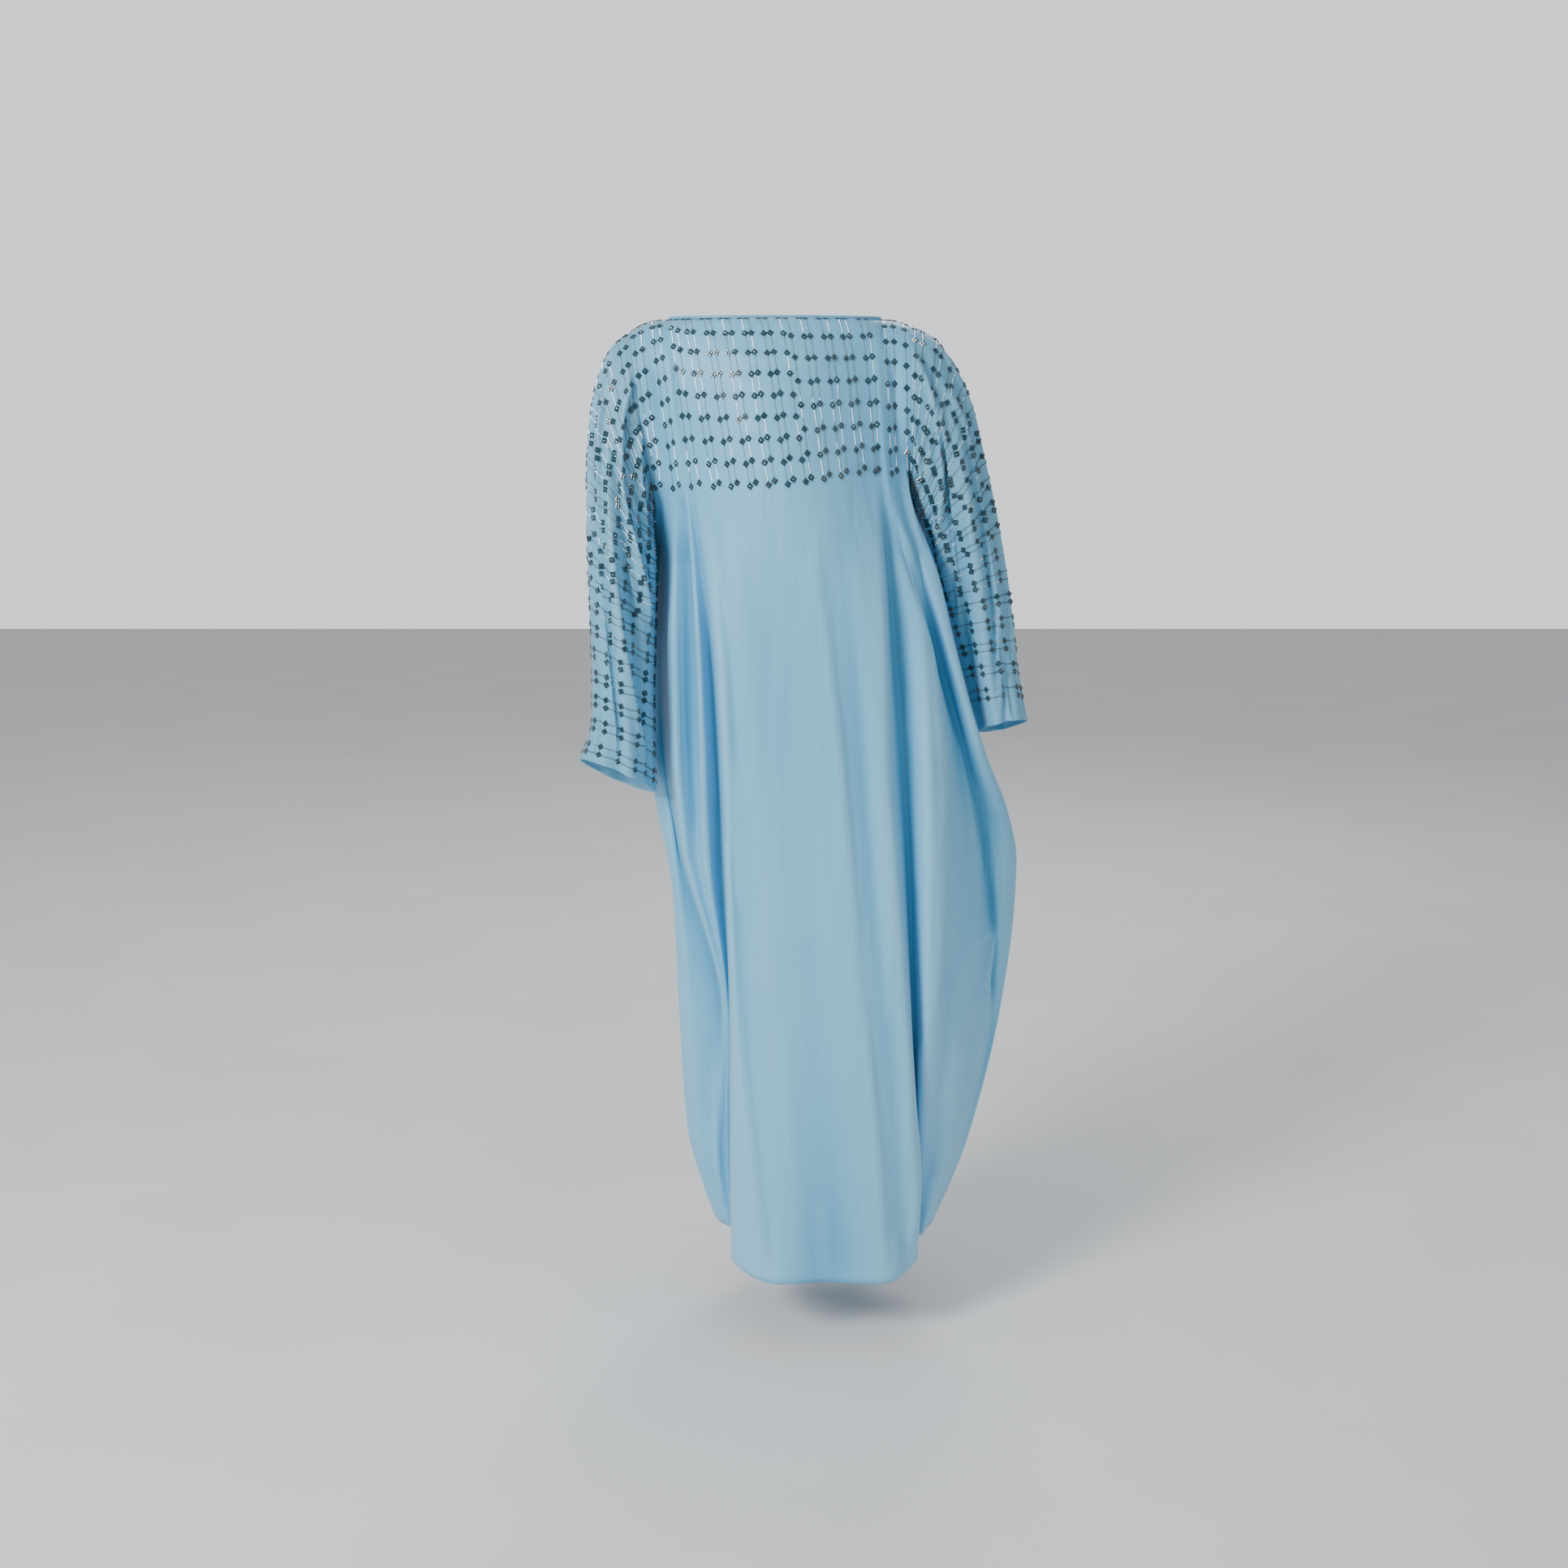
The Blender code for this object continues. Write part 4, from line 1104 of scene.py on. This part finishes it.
# Streaks: long shallow creases that run down the cloth, and a soft crumple across them
streaks, given, result = shader_group(
    "hanging_streaks",
    (("Place", "Vector", None),),
    (("Height", "Float"), ("Patches", "Float")),
)
long_noise = add(
    streaks,
    "ShaderNodeTexNoise",
    [("Vector", scaled(streaks, given.outputs["Place"], (48.0, 48.0, 4.5))), ("Scale", 1.0),
     ("Detail", 3.0), ("Roughness", 0.45), ("Distortion", 0.4)],
)
crumple = add(
    streaks,
    "ShaderNodeTexNoise",
    [("Vector", scaled(streaks, given.outputs["Place"], (40.0, 40.0, 26.0))), ("Scale", 1.0),
     ("Detail", 2.0), ("Roughness", 0.5)],
)
patches = add(
    streaks,
    "ShaderNodeTexNoise",
    [("Vector", scaled(streaks, given.outputs["Place"], (9.0, 9.0, 4.0))), ("Scale", 1.0)],
)
height = math_node(streaks, "MULTIPLY_ADD", crumple.outputs["Fac"], 0.4, long_noise.outputs["Fac"])
streaks.links.new(height, result.inputs["Height"])
streaks.links.new(patches.outputs["Fac"], result.inputs["Patches"])

# Painted shade and light: from the ridge's lighter colour through the flat cloth's to the valley's
# darker one, and noise patches that deepen it a little at random
fold_shading, given, result = shader_group(
    "fold_tint",
    (("Hollow", "Float", 0.5), ("Patches", "Float", 0.5), ("Ridge", "Color", None),
     ("Flat", "Color", None), ("Valley", "Color", None)),
    (("Color", "Color"),),
)
down = math_node(fold_shading, "MULTIPLY_ADD", given.outputs["Hollow"], 2.0, -1.0, clamp=True)
up = math_node(fold_shading, "MULTIPLY_ADD", given.outputs["Hollow"], -2.0, 1.0, clamp=True)
colour = blended(fold_shading, up, given.outputs["Flat"], given.outputs["Ridge"])
colour = blended(fold_shading, down, colour, given.outputs["Valley"])
deeper = math_node(fold_shading, "MULTIPLY_ADD", given.outputs["Patches"], -0.3, 0.18, clamp=True)
colour = blended(fold_shading, deeper, colour, given.outputs["Valley"])
fold_shading.links.new(colour, result.inputs["Color"])
print("shader groups:", twill.name, streaks.name, fold_shading.name)

# %% [markdown]
# Each cloth takes its own three tones: the front and the back are the clear pale blue, the sleeves
# are the same satin painted a little greyer, as painted shade, because less light passes through
# their two layers.

# %% Cloth materials
def principled(name, **uniform):
    """A material whose shader has those fixed values, set on its own sockets."""
    material = bpy.data.materials.new(name)
    material.use_nodes = True
    shader = material.node_tree.nodes["Principled BSDF"]
    for label, value in uniform.items():
        shader.inputs[label.replace("_", " ")].default_value = value
    return material, material.node_tree, shader


def grouped(tree, group, inputs=()):
    made = tree.nodes.new("ShaderNodeGroup")
    made.node_tree = group
    for label, value in inputs:
        if isinstance(value, bpy.types.NodeSocket):
            tree.links.new(value, made.inputs[label])
        else:
            made.inputs[label].default_value = value
    return made


def satin(name, ridge, flat, valley):
    material, tree, shader = principled(
        name, Specular_IOR_Level=0.42, Sheen_Weight=0.22, Sheen_Roughness=0.35, Anisotropic=0.25
    )
    places = tree.nodes.new("ShaderNodeTexCoord")
    shade_mark = add(tree, "ShaderNodeAttribute", attribute_name="shade_mark").outputs["Fac"]
    creases = grouped(tree, streaks, [("Place", places.outputs["Object"])])
    # Base colour with painted light on the ridges and painted shade in the folds
    colour = grouped(tree, fold_shading, [
        ("Hollow", shade_mark), ("Patches", creases.outputs["Patches"]), ("Ridge", (*ridge, 1)),
        ("Flat", (*flat, 1)), ("Valley", (*valley, 1)),
    ])
    weave = grouped(tree, twill, [("Map", places.outputs["UV"])])
    tree.links.new(colour.outputs["Color"], shader.inputs["Base Color"])
    rough = math_node(tree, "MULTIPLY_ADD", weave.outputs["Thread"], 0.10, 0.36)
    rough = math_node(tree, "MULTIPLY_ADD", creases.outputs["Patches"], 0.10, rough)
    tree.links.new(rough, shader.inputs["Roughness"])
    soft = add(tree, "ShaderNodeBump", [
        ("Strength", 0.55), ("Distance", 0.0035), ("Height", creases.outputs["Height"]),
    ])
    fine = add(tree, "ShaderNodeBump", [
        ("Strength", 0.25), ("Distance", 0.0001), ("Height", weave.outputs["Height"]),
        ("Normal", soft.outputs[0]),
    ])
    tree.links.new(fine.outputs[0], shader.inputs["Normal"])
    return material


# Tones of ridge, flat cloth and valley: the ridge's holds painted light and the valley's painted
# shade. The sleeve's are the body's made greyer, as painted shade.
body_satin = satin("body_satin", (0.24, 0.59, 0.84), (0.165, 0.51, 0.78), (0.045, 0.30, 0.54))
sleeve_satin = satin("sleeve_satin", (0.22, 0.52, 0.72), (0.15, 0.43, 0.64), (0.04, 0.25, 0.43))
print("cloth materials:", body_satin.name, sleeve_satin.name)

# %% [markdown]
# The binding and the thread are the same blue, closer woven. The beads are smoke grey glass or
# silver, and the stones a very dark teal under a clear polish.

# %% Binding, thread, beads and stones
def small_piece(name, dark, light, grain, roughness, **uniform):
    """A material for small pieces: its tone and roughness drift from one piece to the next."""
    material, tree, shader = principled(name, **uniform)
    places = tree.nodes.new("ShaderNodeTexCoord")
    noise = add(tree, "ShaderNodeTexNoise", [
        ("Vector", places.outputs["Object"]), ("Scale", grain), ("Detail", 2.0),
    ])
    share = math_node(tree, "MULTIPLY_ADD", noise.outputs["Fac"], 2.4, -0.7, clamp=True)
    tree.links.new(blended(tree, share, (*dark, 1), (*light, 1)), shader.inputs["Base Color"])
    rough = math_node(tree, "MULTIPLY_ADD", share, 0.12, roughness)
    tree.links.new(rough, shader.inputs["Roughness"])
    bump = add(tree, "ShaderNodeBump", [
        ("Strength", 0.2), ("Distance", 0.0002), ("Height", noise.outputs["Fac"]),
    ])
    tree.links.new(bump.outputs[0], shader.inputs["Normal"])
    return material


binding_satin = small_piece(
    "binding_satin", (0.11, 0.38, 0.60), (0.18, 0.50, 0.74), 900.0, 0.42, Sheen_Weight=0.2
)
stitch_thread = small_piece(
    "stitch_thread", (0.14, 0.42, 0.62), (0.25, 0.58, 0.80), 2200.0, 0.5, Sheen_Weight=0.3
)
smoke_bead = small_piece(
    "smoke_bead", (0.035, 0.045, 0.055), (0.13, 0.14, 0.15), 420.0, 0.18, Coat_Weight=0.6
)
silver_bead = small_piece(
    "silver_bead", (0.30, 0.33, 0.36), (0.85, 0.87, 0.90), 620.0, 0.16, Metallic=0.9
)
dark_teal_stone = small_piece(
    "dark_teal_stone", (0.006, 0.028, 0.042), (0.02, 0.09, 0.12), 260.0, 0.10, Coat_Weight=1.0
)
for made in (binding_satin, stitch_thread, smoke_bead, silver_bead, dark_teal_stone):
    print("small material:", made.name)

# %% [markdown]
# Stringing comes last, when all the materials exist. A modifier runs the tree once on each set of
# lines, and its result is kept as a plain mesh.

# %% Strings of beads on the four cloths
def grow(made, tree, **values):
    """Runs a tree on an object and keeps the result as its mesh."""
    modifier = made.modifiers.new(tree.name, "NODES")
    modifier.node_group = tree
    for item in tree.interface.items_tree:
        key = item.name.replace(" ", "_")
        if item.in_out == "INPUT" and key in values:
            modifier[item.identifier] = values[key]
    evaluated = made.evaluated_get(bpy.context.evaluated_depsgraph_get())
    mesh = bpy.data.meshes.new_from_object(evaluated)
    mesh.name = made.name
    made.modifiers.remove(modifier)
    line = made.data
    made.data = mesh
    bpy.data.meshes.remove(line)
    return made


bead_values = {"Smoke": smoke_bead, "Silver": silver_bead, "Teal": dark_teal_stone}
beads = {}
for name, strands, seed in (
    ("front", front_lines, 7),
    ("back", back_lines, 11),
    ("right_sleeve", right_lines, 3),
    ("left_sleeve", left_lines, 5),
):
    strings = line_object(name + "_beads", strands)
    beads[name] = grow(strings, bead_tree, Seed=seed, **bead_values)
    print(beads[name].name, len(beads[name].data.polygons), "faces")

# %% [markdown]
# The stitches lie just inside each turned band: about 10 mm above the hems and 6 mm above the
# cuffs. The binding is stitched near its lower edge.

# %% Stitches along the hems, the cuffs and the neck
THREAD_LIFT = 0.1  # middle of the thread above the cloth
INSIDE_TURN = 1.5  # the stitches lie this far inside the turned band
HEM_SAMPLES, CUFF_SAMPLES, NECK_SAMPLES = 500, 360, 500


def edge_line(grid, closed, outwards, above, steps):
    """A line that keeps its distance above the last row of a grid."""
    down = cloth_runs(grid, 0)
    left = (down[-1] - down) / MM
    rows, columns = grid.shape[:2]
    normals = outward_normals(grid, closed, outwards)
    if closed:
        column = np.linspace(0, columns, steps)
    else:
        column = np.linspace(0.4, columns - 1.4, steps)
    row = []
    for c in column:
        k = int(c) % columns
        row.append(np.interp(above, left[::-1, k], np.arange(rows)[::-1]))
    points, away = on_cloth(grid, normals, np.array(row), column, closed)
    return points + away * THREAD_LIFT * MM, away


ring = np.linspace(0, BINDING_STEPS, NECK_SAMPLES) % BINDING_STEPS
k0 = np.floor(ring).astype(int)
share = (ring - k0)[:, None]
low_side = binding_grid[:, BINDING_SIDES - 2]
neck_points = low_side[k0] * (1 - share) + low_side[(k0 + 1) % BINDING_STEPS] * share
sideways = along_loop[k0] * (1 - share) + along_loop[(k0 + 1) % BINDING_STEPS] * share
neck_away = np.stack([sideways[:, 1], -sideways[:, 0], np.zeros(NECK_SAMPLES)], axis=1)
stitches = {}
for name, line in (
    ("front", edge_line(front_grid, False, 1, HEM_TURN - INSIDE_TURN, HEM_SAMPLES)),
    ("back", edge_line(back_grid, False, -1, HEM_TURN - INSIDE_TURN, HEM_SAMPLES)),
    ("right_sleeve", edge_line(right_grid, True, 1, CUFF_TURN - INSIDE_TURN, CUFF_SAMPLES)),
    ("left_sleeve", edge_line(left_grid, True, -1, CUFF_TURN - INSIDE_TURN, CUFF_SAMPLES)),
    ("neck", (neck_points, neck_away)),
):
    seam = line_object(name + "_stitches", [line])
    stitches[name] = grow(seam, stitch_tree, Thread=stitch_thread)
    stitches[name].data.shade_smooth()
    print(stitches[name].name, len(stitches[name].data.polygons), "faces")

# %% [markdown]
# Every piece rides on the one body of the frame. A cloth stands for its solid and takes its
# material slot, and its area is printed beside the size of the rectangle that it is cut from.

# %% Which piece stands for which solid
CUTS = {  # width and length of the rectangle that each piece is cut from, and its own area
    "front": (1.10, 1.46, 0.94),
    "back": (0.96, 1.44, 0.80),
    "right_sleeve": (0.46, 0.66, 0.214),
    "left_sleeve": (0.46, 0.62, 0.206),
}


def cloth_area(grid, closed):
    """Area of one side of the cloth, in square metres."""
    corner = grid if not closed else np.concatenate([grid, grid[:, :1]], axis=1)
    down = corner[1:, :-1] - corner[:-1, :-1]
    across = corner[:-1, 1:] - corner[:-1, :-1]
    down_after = corner[1:, 1:] - corner[:-1, 1:]
    across_after = corner[1:, 1:] - corner[1:, :-1]
    first = np.linalg.norm(np.cross(down, across), axis=2) / 2
    second = np.linalg.norm(np.cross(down_after, across_after), axis=2) / 2
    return float((first + second).sum())


for name, cloth, grid, closed, material, place in (
    ("front", front, front_grid, False, body_satin, "body_cloth"),
    ("back", back, back_grid, False, body_satin, "body_cloth"),
    ("right_sleeve", right_sleeve, right_grid, True, sleeve_satin, "sleeve_cloth"),
    ("left_sleeve", left_sleeve, left_grid, True, sleeve_satin, "sleeve_cloth"),
):
    cloth.data.materials.append(material)
    for piece in (cloth, beads[name], stitches[name]):
        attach(piece, "root")
    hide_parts(name)
    width, length, area = CUTS[name]
    print(name, "area", round(cloth_area(grid, closed), 3), "of a cut of", width, "by", length)
neck_strip.data.materials.append(binding_satin)
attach(neck_strip, "root")
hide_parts("neck_binding")
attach(stitches["neck"], "root")

# %% [markdown]
# A pale floor and soft daylight from the front left, with a weaker fill, as in a small studio.

# %% Floor and light
FLOOR = -1.47
floor_mesh = bpy.data.meshes.new("floor")
floor_mesh.from_pydata(
    [(-9, -6, FLOOR), (9, -6, FLOOR), (9, 9, FLOOR), (-9, 9, FLOOR)], [], [(0, 1, 2, 3)]
)
floor = bpy.data.objects.new("floor", floor_mesh)
bpy.context.scene.collection.objects.link(floor)
pale = small_piece("pale_floor", (0.86, 0.87, 0.88), (0.90, 0.91, 0.92), 3.0, 0.75)
floor_mesh.materials.append(pale)


def area_light(name, place, aim, size, watts, colour):
    data = bpy.data.lights.new(name, "AREA")
    data.shape = "DISK"
    data.size = size
    data.energy = watts
    data.color = colour
    made = bpy.data.objects.new(name, data)
    made.location = place
    made.rotation_euler = (Vector(aim) - Vector(place)).to_track_quat("-Z", "Y").to_euler()
    bpy.context.scene.collection.objects.link(made)
    return made


area_light("window", (-2.6, -2.9, 1.4), (0, 0, -0.6), 1.5, 170, (1.0, 0.985, 0.96))
area_light("fill", (3.2, -2.2, 0.4), (0, 0, -0.7), 2.4, 16, (0.93, 0.97, 1.0))
area_light("rim", (0.8, 3.0, 1.8), (0, 0, -0.5), 1.6, 40, (1.0, 1.0, 1.0))
world = bpy.data.worlds.new("studio")
world.use_nodes = True
sky = world.node_tree.nodes["Background"]
sky.inputs["Color"].default_value = (0.90, 0.93, 0.96, 1)
# Dim as a light, and bright where the camera sees it
seen = world.node_tree.nodes.new("ShaderNodeLightPath")
strength = math_node(world.node_tree, "MULTIPLY_ADD", seen.outputs["Is Camera Ray"], 0.75, 0.5)
world.node_tree.links.new(strength, sky.inputs["Strength"])
bpy.context.scene.world = world
